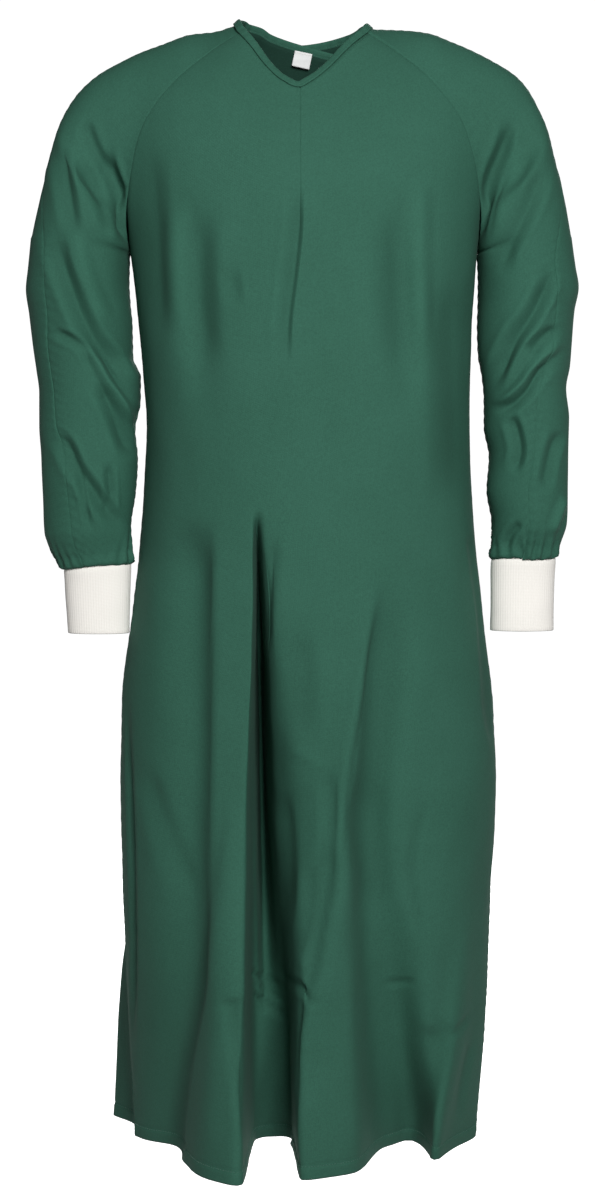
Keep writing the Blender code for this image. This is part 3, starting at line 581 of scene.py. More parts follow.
# Creases, listed one by one. Each follows a path of the photograph's own pixels, column and row, and
# the hidden sides' creases are placed through the gown in the same pixels. wide is a
# crease's half-width and deep how far it pushes in, both in mm; below 0 it is a ridge.
# soft is how much wider the bank is that lies to the left of a path that runs down.
CREASE_COLUMNS = ("where", "path", "wide", "deep", "soft")
CREASES = (
    # the chest
    ("front", ((151, 140), (155, 235), (161, 345)), 11, 4.2, 1.5),
    ("front", ((178, 195), (180, 268), (186, 345)), 9, -3.0, 1.3),
    ("front", ((202, 205), (200, 285), (206, 372)), 12, 3.6, 1.6),
    ("front", ((231, 268), (238, 306)), 6, 2.4, 1.5),
    ("front", ((392, 205), (397, 290), (404, 375)), 12, 3.2, 1.6),
    ("front", ((421, 170), (421, 260), (424, 350)), 8, -3.0, 1.3),
    ("front", ((453, 270), (456, 380), (459, 512)), 14, 6.0, 1.4),
    ("front", ((299, 176), (298, 236), (293, 280), (288, 322), (288, 372)), 3.2, 4.6, 3.0),
    # beside the deep valley
    ("front", ((276, 530), (270, 575), (266, 607), (262, 660)), 7, 4.2, 1.2),
    ("front", ((300, 625), (304, 700), (303, 748)), 12, 4.0, 1.3),
    ("front", ((288, 746), (312, 760), (331, 774)), 4, -2.0, 1.0),
    ("front", ((330, 764), (333, 805), (327, 880)), 4, 5.0, 2.0),
    ("front", ((284, 785), (290, 850), (287, 925)), 6, 3.0, 1.5),
    ("front", ((312, 860), (306, 915), (297, 962)), 4, 4.2, 1.5),
    # the trough right of the slanting ridge, and the top of the second valley
    ("front", ((345, 885), (350, 825), (356, 765), (366, 712), (375, 650), (384, 582)), 6, 8.0, 4.5),
    ("front", ((371, 770), (374, 850), (380, 925)), 12, 4.0, 1.6),
    # the last lobe
    ("front", ((429, 1013), (455, 1031), (472, 1012)), 3, 3.6, 1.0),
    ("front", ((475, 1034), (463, 1080), (458, 1122)), 4, 2.6, 1.3),
    # fine creases of the skirt
    ("front", ((244, 971), (260, 976), (283, 987)), 2.6, 3.6, 1.3),
    ("front", ((245, 985), (265, 996), (288, 1013)), 2.6, -3.0, 1.0),
    ("front", ((280, 968), (295, 985), (307, 1000), (322, 1003)), 3, 4.2, 1.3),
    ("front", ((252, 993), (270, 1004), (286, 1019)), 2.6, 3.2, 1.3),
    ("front", ((384, 983), (416, 981)), 3, 3.2, 1.0),
    ("front", ((427, 794), (412, 870), (424, 946)), 4, 3.6, 1.3),
    ("front", ((127, 690), (129, 775), (132, 860), (134, 935), (134, 985), (131, 1064)), 2.5, 5.0, 1.0),
    ("front", ((145, 760), (165, 830), (185, 902)), 7, 3.6, 1.5),
    # the left sleeve
    ("left sleeve", ((62, 136), (65, 175), (70, 200), (76, 237)), 6, 5.6, 1.5),
    ("left sleeve", ((80, 158), (95, 185), (107, 210), (114, 238)), 6, 5.9, 1.5),
    ("left sleeve", ((84, 118), (92, 140), (100, 160), (105, 182)), 5, 5.0, 1.5),
    ("left sleeve", ((104, 148), (112, 175), (119, 192), (124, 212), (128, 248)), 6, 11.2, 1.4),
    ("left sleeve",
     ((54, 226), (62, 265), (71, 288), (85, 320), (97, 340), (110, 355), (134, 404)), 7, 8.4, 1.4),
    ("left sleeve", ((72, 225), (84, 270), (98, 305), (112, 332)), 8, -4.2, 1.0),
    ("left sleeve", ((50, 329), (62, 335), (72, 339), (85, 350), (91, 369)), 4, 4.8, 1.3),
    ("left sleeve", ((80, 344), (95, 358), (107, 380), (125, 407), (135, 426)), 5, -5.6, 1.0),
    ("left sleeve", ((98, 379), (115, 412), (127, 442), (135, 460)), 6, 7.0, 1.5),
    ("left sleeve", ((50, 429), (65, 443), (77, 467), (97, 495), (112, 515), (127, 532)), 6, 7.0, 1.4),
    ("left sleeve", ((109, 462), (111, 490), (112, 513)), 4, 4.2, 1.3),
    ("left sleeve", ((77, 466), (84, 497), (91, 532)), 3, 3.1, 1.3),
    ("left sleeve", ((130, 541), (139, 547), (132, 562)), 5, -3.6, 1.0),
    # the right sleeve
    ("right sleeve", ((514, 116), (505, 147), (495, 172), (485, 207), (477, 244)), 5, 9.8, 1.5),
    ("right sleeve", ((523, 138), (513, 170), (503, 200), (494, 234)), 6, -3.6, 1.0),
    ("right sleeve", ((542, 163), (535, 192), (520, 225), (507, 250), (501, 277)), 8, 6.4, 1.4),
    ("right sleeve",
     ((545, 264), (549, 280), (542, 300), (530, 320), (517, 337), (505, 360), (491, 394)), 6, 9.2, 1.5),
    ("right sleeve", ((489, 404), (505, 399), (520, 386), (535, 364), (552, 349), (567, 338)), 5, -5.6, 1.0),
    ("right sleeve", ((492, 412), (510, 405), (524, 394), (538, 374), (554, 359)), 5, 5.9, 1.3),
    ("right sleeve", ((559, 327), (542, 340), (528, 355)), 5, 5.9, 1.3),
    ("right sleeve", ((509, 412), (517, 432), (520, 450), (513, 476)), 5, 5.9, 1.4),
    ("right sleeve", ((562, 428), (552, 457), (545, 494)), 5, 5.9, 1.4),
    ("right sleeve", ((566, 495), (557, 520), (551, 536)), 4, -4.2, 1.0),
    ("right sleeve", ((522, 522), (510, 536), (504, 551)), 4, 4.2, 1.3),
    # the hidden sides, creased like those that show
    ("back", ((160, 150), (164, 240), (170, 340)), 10, 4.2, 1.5),
    ("back", ((205, 200), (203, 290), (212, 400)), 10, 3.8, 1.6),
    ("back", ((424, 190), (420, 280), (416, 360)), 9, -3.0, 1.3),
    ("back", ((400, 220), (396, 300), (402, 390)), 10, 3.6, 1.6),
    ("back", ((250, 540), (246, 660), (254, 800)), 8, 5.0, 1.8),
    ("back", ((230, 590), (226, 700), (232, 840)), 8, -3.6, 1.3),
    ("back", ((356, 545), (364, 640), (352, 740), (350, 850)), 8, 5.0, 1.8),
    ("back", ((338, 610), (330, 720), (338, 860)), 8, -3.4, 1.3),
    ("back", ((290, 930), (316, 950), (332, 992)), 4, 2.6, 1.3),
    ("back", ((196, 870), (212, 930), (210, 1010)), 5, 3.0, 1.3),
    ("back", ((446, 810), (436, 900), (444, 1000)), 5, 2.8, 1.3),
    ("back", ((180, 690), (190, 790), (186, 890)), 6, 2.6, 1.5),
    ("left sleeve behind", ((98, 120), (114, 190), (128, 246)), 7, 9.1, 1.4),
    ("left sleeve behind", ((70, 150), (84, 200), (92, 246)), 6, 5.6, 1.5),
    ("left sleeve behind", ((58, 244), (80, 290), (100, 334), (122, 370)), 7, 7.8, 1.4),
    ("left sleeve behind", ((58, 356), (84, 380), (120, 426)), 6, -5.6, 1.0),
    ("left sleeve behind", ((54, 414), (88, 470), (118, 506)), 6, 7.0, 1.4),
    ("right sleeve behind", ((510, 120), (496, 190), (480, 246)), 7, 9.1, 1.4),
    ("right sleeve behind", ((536, 160), (522, 210), (512, 250)), 6, 5.6, 1.5),
    ("right sleeve behind", ((552, 254), (530, 300), (500, 340), (490, 372)), 7, 7.8, 1.4),
    ("right sleeve behind", ((552, 346), (524, 384), (490, 422)), 6, -5.6, 1.0),
    ("right sleeve behind", ((554, 412), (526, 466), (498, 504)), 6, 7.0, 1.4),
)
# Pressed edges: the cloth left of a path that runs down sinks away from a sharp edge,
# deep mm by wide mm from it, and comes up again beyond.
PRESSED_COLUMNS = ("where", "path", "wide", "deep")
PRESSED = (
    # the lit lobe's left edge, and its right edge above the hem
    ("front",
     ((215, 512), (214, 560), (213, 640), (213, 740), (210, 860), (209, 935), (205, 997), (197, 1040),
      (190, 1085), (186, 1122), (185, 1164)), 24, 15.0),
    ("front", ((249, 1186), (237, 1110), (232, 1080), (227, 1047), (221, 1000)), 12, 5.0),
    # the slanting ridge's lower end, which becomes the right lobe's left edge
    ("front",
     ((343, 845), (335, 897), (327, 935), (321, 972), (310, 1005), (302, 1035), (300, 1085),
      (297, 1146)), 14, 7.0),
    # the last lobe, and the line beside the right side seam
    ("front", ((456, 1026), (450, 1072), (442, 1097), (435, 1130), (432, 1160)), 20, 6.0),
    ("front", ((491, 752), (482, 712), (479, 662), (475, 612), (470, 575), (465, 536)), 9, 4.0),
)
CREASE_ENDS, PRESSED_ENDS = (0.25, 0.25), (0.10, 0.02)  # shares of its path where each fades
# A crease's section: how sharp it is and the low bank beyond it, then how far the hollow
# of a pressed edge runs on past its width. Both are in the crease's own widths.
CREASE_POWER, BANK_HIGH, BANK_AT, BANK_WIDE, RUNS_ON = 1.7, 0.25, 1.8, 0.6, 0.9
CREASE_REACH = 3  # in the same widths
TURNED_AWAY = 0.3  # creases fade where the cloth faces the camera by less than this
HIDDEN = ("back", "left sleeve behind", "right sleeve behind")
MM = 0.001
PIXEL = 1.10  # mm of cloth for each pixel of the photograph
PATH_FINE = 4  # points along a crease for each of its path's own

# How finely each piece is made.
FRONT_QUADS, BACK_QUADS, SLEEVE_QUADS = 462, 84, 68
FRONT_STEP, VALLEY_COLUMNS, CENTRE_COLUMNS = 3, (170, 226, 1), (222, 235, 0.5)
YOKE_QUADS, CAP_QUADS, ARM_QUADS = 54, 80, 140
# The skirt's rows: from one height to another in so many steps.
SKIRT_ROWS = (
    (UNDERARM_Z, -0.950, 104), (-0.950, -1.080, 30), (-1.080, -1.216, 22), (-1.216, HEM_Z, 12),
)
EDGE_STEPS = (0.07, 0.22, 0.55)  # extra columns beside a seam, as shares of a quad
SHEET, TAG = 0.0009, 0.0005  # how thick the shells of the cloth and of the label are

# The sewing, in metres: how far a seam is drawn in and how far that reaches, the allowance
# that is turned inside, the puckers along a seam, and a stitch.
SEAM_DEEP, SEAM_REACH, ALLOWANCE = 0.0004, 0.0011, 0.006
PUCKER, PUCKER_STEP, PUCKER_DRIFT, PUCKER_REACH = 0.00045, 0.011, 0.037, 0.010
STITCH, STITCH_GAP, THREAD = 0.0026, 0.0008, 0.00042
THREAD_RISES = 0.4  # how far a stitch's middle lies above the cloth, in its half-thicknesses
CALM_BY_SEAM = 0.009  # how near a seam between two panels the creases fade out
# The pleat's stitched line: its column and end rows in the photograph, its half-width in
# mm and its depth in metres. Its puckers, its fading ends and the tack are in pixels.
CENTRE_AT, CENTRE_ENDS, CENTRE_WIDE, CENTRE_DEEP = 300, (80, 232), 0.8, 0.0007
CENTRE_STEP, CENTRE_DRIFT, CENTRE_REACH, CENTRE_FADES = 10, 31, 9, (6, 12)
TACK_FROM, TACK_TO, TACK_ROW = 297, 312, 262
# The hem: how far up it is turned, how far the doubled cloth stands out and how soft its
# upper edge is, then the groove and the puckers of its stitches.
HEM_TURN, HEM_STANDS, HEM_SOFT = 0.015, 0.0007, 0.003
HEM_GROOVE, HEM_GROOVE_WIDE = 0.0013, 0.0018
HEM_STEP, HEM_DRIFT, HEM_REACH = 0.014, 0.05, 0.008
# The gathers above a cuff, and how the sleeve's end puffs out and hangs over the knit.
GATHER, GATHER_STEP, GATHER_REACH = 0.0034, 0.0125, 0.050
PUFF, PUFF_REACH, OVERHANG, TUCK = 0.0024, 0.014, 0.0030, 0.0035
# No two gathers are alike: how far along their steps, heights, lengths and overhang
# change, how much, and how they fade out upwards and are pressed flat by the cuff.
STEP_DRIFT, STEP_CHANGE, GATHER_FADES = 0.023, 2.4, 1.3
HIGH_DRIFT, HIGH_MEAN, HIGH_SWING = 0.031, 0.62, 0.38
LONG_DRIFT, LONG_MEAN, LONG_SWING = 0.014, 0.75, 0.35
HANG_DRIFT, HANG_WAVE, HANG_SWING, HANG_REACH = 0.017, 0.45, 0.35, 0.010
FLAT_REACH, FLAT_SHARE, TUCK_REACH = 0.005, 0.75, 0.0025
# What makes each half's gathers and its unevenness its own.
SLEEVE_SEEDS = {
    ("left", "front"): (14, 16.0), ("left", "back"): (12, 15.0),
    ("right", "front"): (15, 17.0), ("right", "back"): (13, 16.0),
}
# The cloth's own unevenness, soft and fine: how high in mm, and how wide, how stretched
# down and with what seed.
RUMPLE = {"front": (1.5, 0.7), "back": (1.8, 0.7), "sleeve": (2.4, 0.8)}
RUMPLE_FORMS = ((0.085, 2.2, 0), (0.030, 1.6, 9))
PANEL_SEEDS = {"front": 1.0, "left": 3.0, "right": 5.0}
CREASE_SHADE_DEEP = 3  # mm of crease at which the painted shade in troughs and the painted highlight on ridges are full
# The knit: its ribs, the rows of its mesh, how far it is turned up inside, how it is
# drawn in under the sleeve, and its unevenness.
RIBS, RIB_QUADS, RIB_DEEP, RIB_ROUND = 64, 4, 0.0003, 0.7
CUFF_STEPS, TURN_STEPS, TURN_UP = 24, 6, 0.014
DRAWN_IN, DRAWN_REACH = 0.0016, 0.006
KNIT_SOFT, KNIT_SOFT_WIDE, KNIT_SEED = 0.0007, 0.03, 21.0
# The neck binding: rise and how far out of the middle of the band, in mm, round from the
# lower edge outside, over the fold and down inside.
BINDING_STEPS = 330
BINDING_PROFILE = (
    (-1.0, 0.9), (0.2, 1.35), (1.0, 1.00), (2.2, 1.25), (4.6, 1.35), (6.8, 1.15), (7.7, 0.6), (8.0, 0.0),
    (7.7, -0.6), (6.8, -1.1), (4.6, -1.2), (2.2, -1.1), (1.0, -0.9), (0.2, -1.1), (-1.0, -0.8), (-1.0, 0.9),
)
BINDING_SEWN = 2  # the point of the profile where the stitches lie
BINDING_PUCKER, BINDING_STEP, BINDING_DRIFT = 0.18, 0.012, 0.05
# The label: how it bows and how its top is drawn in, in metres, and the row that is sewn.
LABEL_BOW, LABEL_WAVES, LABEL_PINCH, LABEL_PINCH_REACH, LABEL_SEWN = 0.0006, 1.2, 0.0005, 0.0016, 2


def seen_at(points):
    """The column and row of the photograph where its camera sees these points."""
    to = points - EYE
    away = to[..., 1] * math.cos(LOOKS_DOWN) - to[..., 2] * math.sin(LOOKS_DOWN)
    up = to[..., 1] * math.sin(LOOKS_DOWN) + to[..., 2] * math.cos(LOOKS_DOWN)
    scale = LENS / SENSOR * PHOTO_HIGH / away
    return PHOTO_WIDE / 2 + to[..., 0] * scale, PHOTO_HIGH / 2 - up * scale


def unit(vectors):
    return vectors / np.maximum(np.linalg.norm(vectors, axis=-1, keepdims=True), 1e-9)


def outward(points, flip):
    out = unit(np.cross(np.gradient(points, axis=0), np.gradient(points, axis=1)))
    return -out if flip else out


def taken(grid, rows, columns):
    """The grid at these rows and columns, which may lie between its own."""
    rows, columns = np.asarray(rows, float), np.asarray(columns, float)
    i = np.clip(rows.astype(int), 0, grid.shape[0] - 2)
    j = np.clip(columns.astype(int), 0, grid.shape[1] - 2)
    v, u = (rows - i)[:, None, None], (columns - j)[None, :, None]
    top = grid[i][:, j] * (1 - u) + grid[i][:, j + 1] * u
    low = grid[i + 1][:, j] * (1 - u) + grid[i + 1][:, j + 1] * u
    return top * (1 - v) + low * v


def edged(count, first=True, last=True, step=1, zones=()):
    """Column numbers 0 to count, with more in the zones and beside the ends that are sewn."""
    extra = np.array(EDGE_STEPS) * step
    steps = [np.arange(0, count + step / 2, step)] + [np.arange(*zone) for zone in zones]
    steps += [extra] * first + [count - extra] * last
    return np.unique(np.round(np.concatenate(steps), 3))


def smooth_path(path):
    """Points along a crease, curving through those of its path."""
    path = np.array(path, float)
    at = lengths(path)
    steps = np.linspace(0, at[-1], PATH_FINE * len(path))
    if len(path) == 2:
        return np.stack([np.interp(steps, at, path[:, k]) for k in (0, 1)], 1)
    slopes = np.gradient(path, at, axis=0)
    i = np.clip(np.searchsorted(at, steps, side="right") - 1, 0, len(at) - 2)
    gap = (at[i + 1] - at[i])[:, None]
    t = ((steps - at[i]) / gap[:, 0])[:, None]
    ends = path[i] * (1 + 2 * t) * (1 - t) ** 2 + path[i + 1] * t * t * (3 - 2 * t)
    return ends + gap * (slopes[i] * t * (1 - t) ** 2 + slopes[i + 1] * t * t * (t - 1))


def beside(path, wide, column, row):
    """Where a path passes near these columns and rows: which points lie near it, how far
    off and how far along it each is, and on which side, above 0 to the left going down."""
    line, half = smooth_path(path), wide / PIXEL
    low, high = line.min(axis=0) - CREASE_REACH * half, line.max(axis=0) + CREASE_REACH * half
    near = (column > low[0]) & (column < high[0]) & (row > low[1]) & (row < high[1])
    spot = np.stack([column[near], row[near]], 1)
    nearest, along, side = np.full(len(spot), np.inf), np.zeros(len(spot)), np.zeros(len(spot))
    for k, (a, b) in enumerate(zip(line[:-1], line[1:])):
        t = np.clip((spot - a) @ (b - a) / ((b - a) @ (b - a)), 0, 1)
        off = spot - a - t[:, None] * (b - a)
        gap = np.linalg.norm(off, axis=1)
        closer = gap < nearest
        nearest[closer], along[closer] = gap[closer], (k + t[closer]) / (len(line) - 1)
        side[closer] = ((b - a)[0] * off[:, 1] - (b - a)[1] * off[:, 0])[closer]
    return near, nearest * PIXEL, along, side


def trough(share):
    """A crease's section, with the low bank that rises beyond it."""
    return np.exp(-(share**CREASE_POWER)) - BANK_HIGH * np.exp(-(((share - BANK_AT) / BANK_WIDE) ** 2))


def hollow(share):
    """The section beside a pressed edge: down from the edge, and up again beyond its width."""
    return np.where(share < 1, 1 - (1 - share) ** 2, np.exp(-(((share - 1) / RUNS_ON) ** 2)))


def creased(points, out, groups):
    """How far the creases and pressed edges of these groups push the cloth in."""
    column, row = seen_at(points)
    facing = (out * unit(EYE - points)).sum(axis=-1)
    push = np.zeros(points.shape[:2])
    creases = [(dict(zip(CREASE_COLUMNS, line)), CREASE_ENDS) for line in CREASES]
    creases += [(dict(zip(PRESSED_COLUMNS, line)), PRESSED_ENDS) for line in PRESSED]
    for crease, ends in creases:
        if crease["where"] not in groups:
            continue
        wide, soft = crease["wide"], crease.get("soft")
        near, off, along, side = beside(crease["path"], wide * max(soft or 1, 1), column, row)
        if soft:
            shape = trough(off / wide / np.where(side > 0, soft, 1))
        else:
            shape = np.where(side > 0, hollow(off / wide), 0)
        fades = ease(along, 0.0, ends[0]) * ease(1 - along, 0.0, ends[1])
        towards = -facing[near] if crease["where"] in HIDDEN else facing[near]
        push[near] += crease["deep"] * MM * shape * fades * ease(towards, 0.0, TURNED_AWAY)
    return push


def rumpled(points, size, long, seed):
    """Soft unevenness from -1 to 1: size is its width in metres and long its stretch down."""
    scale = np.array([1, 1, 1 / long]) / size
    flat = (points * scale + seed).reshape(-1, 3)
    return np.array([noise.noise(p) for p in flat]).reshape(points.shape[:2])


def run_of(points, axis):
    """How far along the cloth each point lies, by rows or by columns."""
    steps = np.linalg.norm(np.diff(points, axis=axis), axis=2)
    return np.concatenate([np.zeros_like(steps.take([0], axis)), np.cumsum(steps, axis)], axis)


def wavering(along, step, drift, change=2, phase=0):
    """A wave from -1 to 1 whose steps are uneven: drift is how far along they change."""
    return np.sin(along / step * math.tau + change * np.sin(along / drift + phase))


def gap_to(points, side):
    """How far each point lies from its row's first or last one, along the cloth."""
    across = run_of(points, 1)
    return across if side == "first" else across[:, -1:] - across


def sewn(points, sides, seed):
    """How far seams draw the cloth in beside its edges, with the puckers along them."""
    wave = wavering(run_of(points, 0), PUCKER_STEP, PUCKER_DRIFT, phase=seed)
    push = np.zeros(points.shape[:2])
    for side in sides:
        gap = gap_to(points, side)
        push += SEAM_DEEP * np.exp(-((gap / SEAM_REACH) ** 2))
        push += PUCKER * wave * np.exp(-gap / PUCKER_REACH) * (1 - np.exp(-gap / SEAM_REACH))
    return push


def centre_seam(points):
    """The sewn line down the middle of the chest, where the pleat is stitched shut."""
    column, row = seen_at(points)
    groove = np.exp(-(((column - CENTRE_AT) * PIXEL / CENTRE_WIDE) ** 2))
    wave = wavering(row, CENTRE_STEP, CENTRE_DRIFT)
    puckered = np.exp(-np.abs(column - CENTRE_AT) / CENTRE_REACH) * (1 - groove)
    (top, low), (fade_in, fade_out) = CENTRE_ENDS, CENTRE_FADES
    sewn_shut = ease(row, top, top + fade_in) * ease(low - row, 0, fade_out)
    return sewn_shut * (CENTRE_DEEP * groove + PUCKER * wave * puckered)


def hemmed(points):
    """The turned-up hem: a line of stitches drawn in and the doubled cloth below it."""
    rise, across = points[..., 2] - HEM_Z, run_of(points, 1)
    groove = HEM_GROOVE * np.exp(-(((rise - HEM_TURN) / HEM_GROOVE_WIDE) ** 2))
    wave = PUCKER * wavering(across, HEM_STEP, HEM_DRIFT)
    below = ease(HEM_TURN + HEM_SOFT - rise, 0, HEM_SOFT)
    return groove - HEM_STANDS * below + wave * np.exp(-np.abs(rise - HEM_TURN) / HEM_REACH)


def gathered(points, phase):
    """How far the gathers above a cuff push a sleeve's end in, and how far it hangs down."""
    across, down = run_of(points, 1), run_of(points, 0)
    left_to_cuff = down[-1:] - down
    wave = wavering(across, GATHER_STEP, STEP_DRIFT, STEP_CHANGE, phase)
    wave = wave * (HIGH_MEAN + HIGH_SWING * np.sin(across / HIGH_DRIFT + 2 * phase))
    reach = GATHER_REACH * (LONG_MEAN + LONG_SWING * np.sin(across / LONG_DRIFT + phase))
    push = GATHER * wave * ease(reach - left_to_cuff, 0, reach) ** GATHER_FADES
    push *= 1 - FLAT_SHARE * ease(FLAT_REACH - left_to_cuff, 0, FLAT_REACH)
    push += TUCK * ease(TUCK_REACH - left_to_cuff, 0, TUCK_REACH)
    push -= PUFF * ease(PUFF_REACH - left_to_cuff, 0, PUFF_REACH)
    hang = OVERHANG * (1 + HANG_WAVE * wave + HANG_SWING * np.sin(across / HANG_DRIFT + phase))
    return push, hang * ease(HANG_REACH - left_to_cuff, 0, HANG_REACH)


def finished(name, bm):
    """The object of a bmesh, in the scene."""
    mesh = bpy.data.meshes.new(name)
    bm.to_mesh(mesh)
    bm.free()
    made = bpy.data.objects.new(name, mesh)
    bpy.context.scene.collection.objects.link(made)
    return made


def grid_piece(name, points, flip=False, tone=None, joined=False):
    """A mesh of quads from a grid operator, moved to these points, with its own UV in metres."""
    rows, columns = points.shape[:2]
    across, down = run_of(points, 1), run_of(points, 0)
    bm = bmesh.new()
    bmesh.ops.create_grid(bm, x_segments=columns - 1, y_segments=rows - 1, size=1)
    cloth_uv = bm.loops.layers.uv.new("cloth")
    # The crease attribute holds the painted shade and highlight of the creases.
    tones = bm.verts.layers.float.new("crease")
    place = {}
    for vert in bm.verts:
        i = round((1 - vert.co.y) / 2 * (rows - 1))
        j = round((1 + vert.co.x) / 2 * (columns - 1))
        place[vert] = (i, j)
        vert.co = points[i, j]
        vert[tones] = 0.0 if tone is None else tone[i, j]
    middle = across[:, columns // 2]
    for face in bm.faces:
        for loop in face.loops:
            i, j = place[loop.vert]
            loop[cloth_uv].uv = (across[i, j] - middle[i], down[i, j])
        face.smooth = True
    if joined:
        bmesh.ops.remove_doubles(bm, verts=bm.verts[:], dist=1e-6)
    if flip:
        bmesh.ops.reverse_faces(bm, faces=bm.faces[:])
    return finished(name, bm)


def thickened(piece, thick):
    """The piece with a wall of this thickness, inside its surface."""
    solid = piece.modifiers.new("thickness", "SOLIDIFY")
    solid.thickness, solid.offset = thick, -1
    solid.use_even_offset = False
    solid.use_rim = True
    return piece


def turned_in(points, out, first, last):
    """The points with a seam allowance turned inside along the sewn sides."""
    if first:
        points = np.concatenate([points[:, :1] - out[:, :1] * ALLOWANCE, points], 1)
    if last:
        points = np.concatenate([points, points[:, -1:] - out[:, -1:] * ALLOWANCE], 1)
    return points


def stitched(name, line, out, look, length=STITCH, gap=STITCH_GAP, thread=THREAD):
    """A line of stitches lying on the cloth, each a short bead of thread."""
    run = lengths(line)
    bm = bmesh.new()
    for middle in np.arange(length / 2, run[-1], length + gap):
        at, to, back = (
            np.array([np.interp(middle + step, run, line[:, k]) for k in range(3)])
            for step in (0, length / 2, -length / 2)
        )
        normal = np.array([np.interp(middle, run, out[:, k]) for k in range(3)])
        along = unit(to - back)
        normal = unit(normal - along * (normal @ along))
        lies = np.eye(4)
        lies[:3, 0] = along * length / 2
        lies[:3, 1] = np.cross(normal, along) * thread
        lies[:3, 2] = normal * thread
        lies[:3, 3] = at + normal * thread * THREAD_RISES
        bmesh.ops.create_icosphere(bm, subdivisions=1, radius=1, matrix=Matrix(lies.tolist()))
    for face in bm.faces:
        face.smooth = True
    piece = finished(name, bm)
    piece.data.materials.append(look)
    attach(piece, "root")
    return piece


# Materials.


def linear(code):
    """A colour's sRGB hex code as the linear colour that a shader takes."""
    shares = [int(code[i : i + 2], 16) / 255 for i in (1, 3, 5)]
    return [s / 12.92 if s <= 0.04045 else ((s + 0.055) / 1.055) ** 2.4 for s in shares] + [1]


def add(tree, kind, links=(), sockets=(), **settings):
    """Adds a node with its settings, its sockets' values and the links into it."""
    made = tree.nodes.new(kind)
    for name, value in settings.items():
        setattr(made, name, value)
    for name, value in dict(sockets).items():
        made.inputs[name].default_value = value
    for name, source in dict(links).items():
        tree.links.new(source, made.inputs[name])
    return made


def finish_of(name, roughness, sheen=0.0, tint="#ffffff"):
    """A new material, its tree and its shader."""
    look = bpy.data.materials.new(name)
    look.use_nodes = True
    shader = look.node_tree.nodes["Principled BSDF"]
    shader.inputs["Roughness"].default_value = roughness
    shader.inputs["IOR"].default_value = 1.5
    shader.inputs["Specular IOR Level"].default_value = 0.12
    shader.inputs["Sheen Weight"].default_value = sheen
    shader.inputs["Sheen Roughness"].default_value = 0.5
    shader.inputs["Sheen Tint"].default_value = linear(tint)
    return look, look.node_tree, shader


# A wave texture of scale 1 repeats once in this many metres.
WAVE_TURN = math.tau / 20


def woven_cotton(name, dyes_and_shade):
    """Piece-dyed cotton in plain weave: matt, with a faint bloom and uneven threads."""
    look, tree, shader = finish_of(name, 0.85, 0.03, "#a9cbbd")
    place = add(tree, "ShaderNodeUVMap", uv_map="cloth").outputs["UV"]
    solid = add(tree, "ShaderNodeTexCoord").outputs["Object"]
    # A real thread is 0.4 mm; the weave is drawn at 2.4 mm so that a render can show it.
    bands = [
        add(
            tree, "ShaderNodeTexWave", {"Vector": place},
            {"Scale": WAVE_TURN / (2.4 * MM), "Distortion": 1.2, "Detail": 2, "Detail Scale": 1.5},
            wave_type="BANDS", bands_direction=way,
        ).outputs["Fac"]
        for way in "XY"
    ]
    weave = add(tree, "ShaderNodeMath", {0: bands[0], 1: bands[1]}, operation="MULTIPLY").outputs[0]
    # Slubs: threads that are a little thicker or paler, 3 mm apart and 40 mm long.
    slubs = []
    for to_the_metre in ((330, 26, 1), (26, 330, 1)):
        way = add(tree, "ShaderNodeMapping", {"Vector": place}, {"Scale": to_the_metre}).outputs[0]
        slub = add(tree, "ShaderNodeTexNoise", {"Vector": way}, {"Scale": 1, "Detail": 2})
        slubs.append(slub.outputs["Fac"])
    slub = add(tree, "ShaderNodeMath", {0: slubs[0], 1: slubs[1]}, operation="ADD").outputs[0]
    threads = add(
        tree, "ShaderNodeMapRange", {"Value": slub},
        {"From Min": 0.7, "From Max": 1.3, "To Min": 0.975, "To Max": 1.025},
    ).outputs[0]
    # Heather: single fibres take the dye unevenly, drawn at 1.6 mm so that they show.
    fibres = add(tree, "ShaderNodeTexNoise", {"Vector": solid}, {"Scale": 1 / (1.6 * MM), "Detail": 1})
    heather = add(
        tree, "ShaderNodeMapRange", {"Value": fibres.outputs["Fac"]},
        {"From Min": 0.3, "From Max": 0.7, "To Min": 0.91, "To Max": 1.09},
    ).outputs[0]
    threads = add(tree, "ShaderNodeMath", {0: threads, 1: heather}, operation="MULTIPLY").outputs[0]
    # Painted shade and highlight: troughs a little darker and ridges a little paler, as the light falls on
    # the creases.
    crease_shade = add(tree, "ShaderNodeAttribute", attribute_name="crease").outputs["Fac"]
    ridge = add(
        tree, "ShaderNodeMapRange", {"Value": crease_shade},
        {"From Min": -1, "From Max": 1, "To Min": 0.90, "To Max": 1.06},
    ).outputs[0]
    tone = add(tree, "ShaderNodeMath", {0: threads, 1: ridge}, operation="MULTIPLY").outputs[0]
    cloudy = add(tree, "ShaderNodeTexNoise", {"Vector": solid}, {"Scale": 9, "Detail": 3}).outputs["Fac"]
    # The two colours: the cloth's dyes outside, and painted shade for the inside faces.
    dye_and_shade = add(tree, "ShaderNodeMix", {"Factor": cloudy}, data_type="RGBA")
    dye_and_shade.inputs["A"].default_value, dye_and_shade.inputs["B"].default_value = (linear(code) for code in dyes_and_shade)
    toned = add(
        tree, "ShaderNodeVectorMath", {0: dye_and_shade.outputs["Result"], "Scale": tone}, operation="SCALE"
    )
    tree.links.new(toned.outputs[0], shader.inputs["Base Color"])
    fine = add(tree, "ShaderNodeTexNoise", {"Vector": solid}, {"Scale": 140, "Detail": 3}).outputs["Fac"]
    bump = add(tree, "ShaderNodeBump", {"Height": fine}, {"Strength": 0.25, "Distance": 0.8 * MM})
    bump = add(
        tree, "ShaderNodeBump", {"Height": weave, "Normal": bump.outputs[0]},
        {"Strength": 0.25, "Distance": 0.25 * MM},
    )
    tree.links.new(bump.outputs[0], shader.inputs["Normal"])
    return look


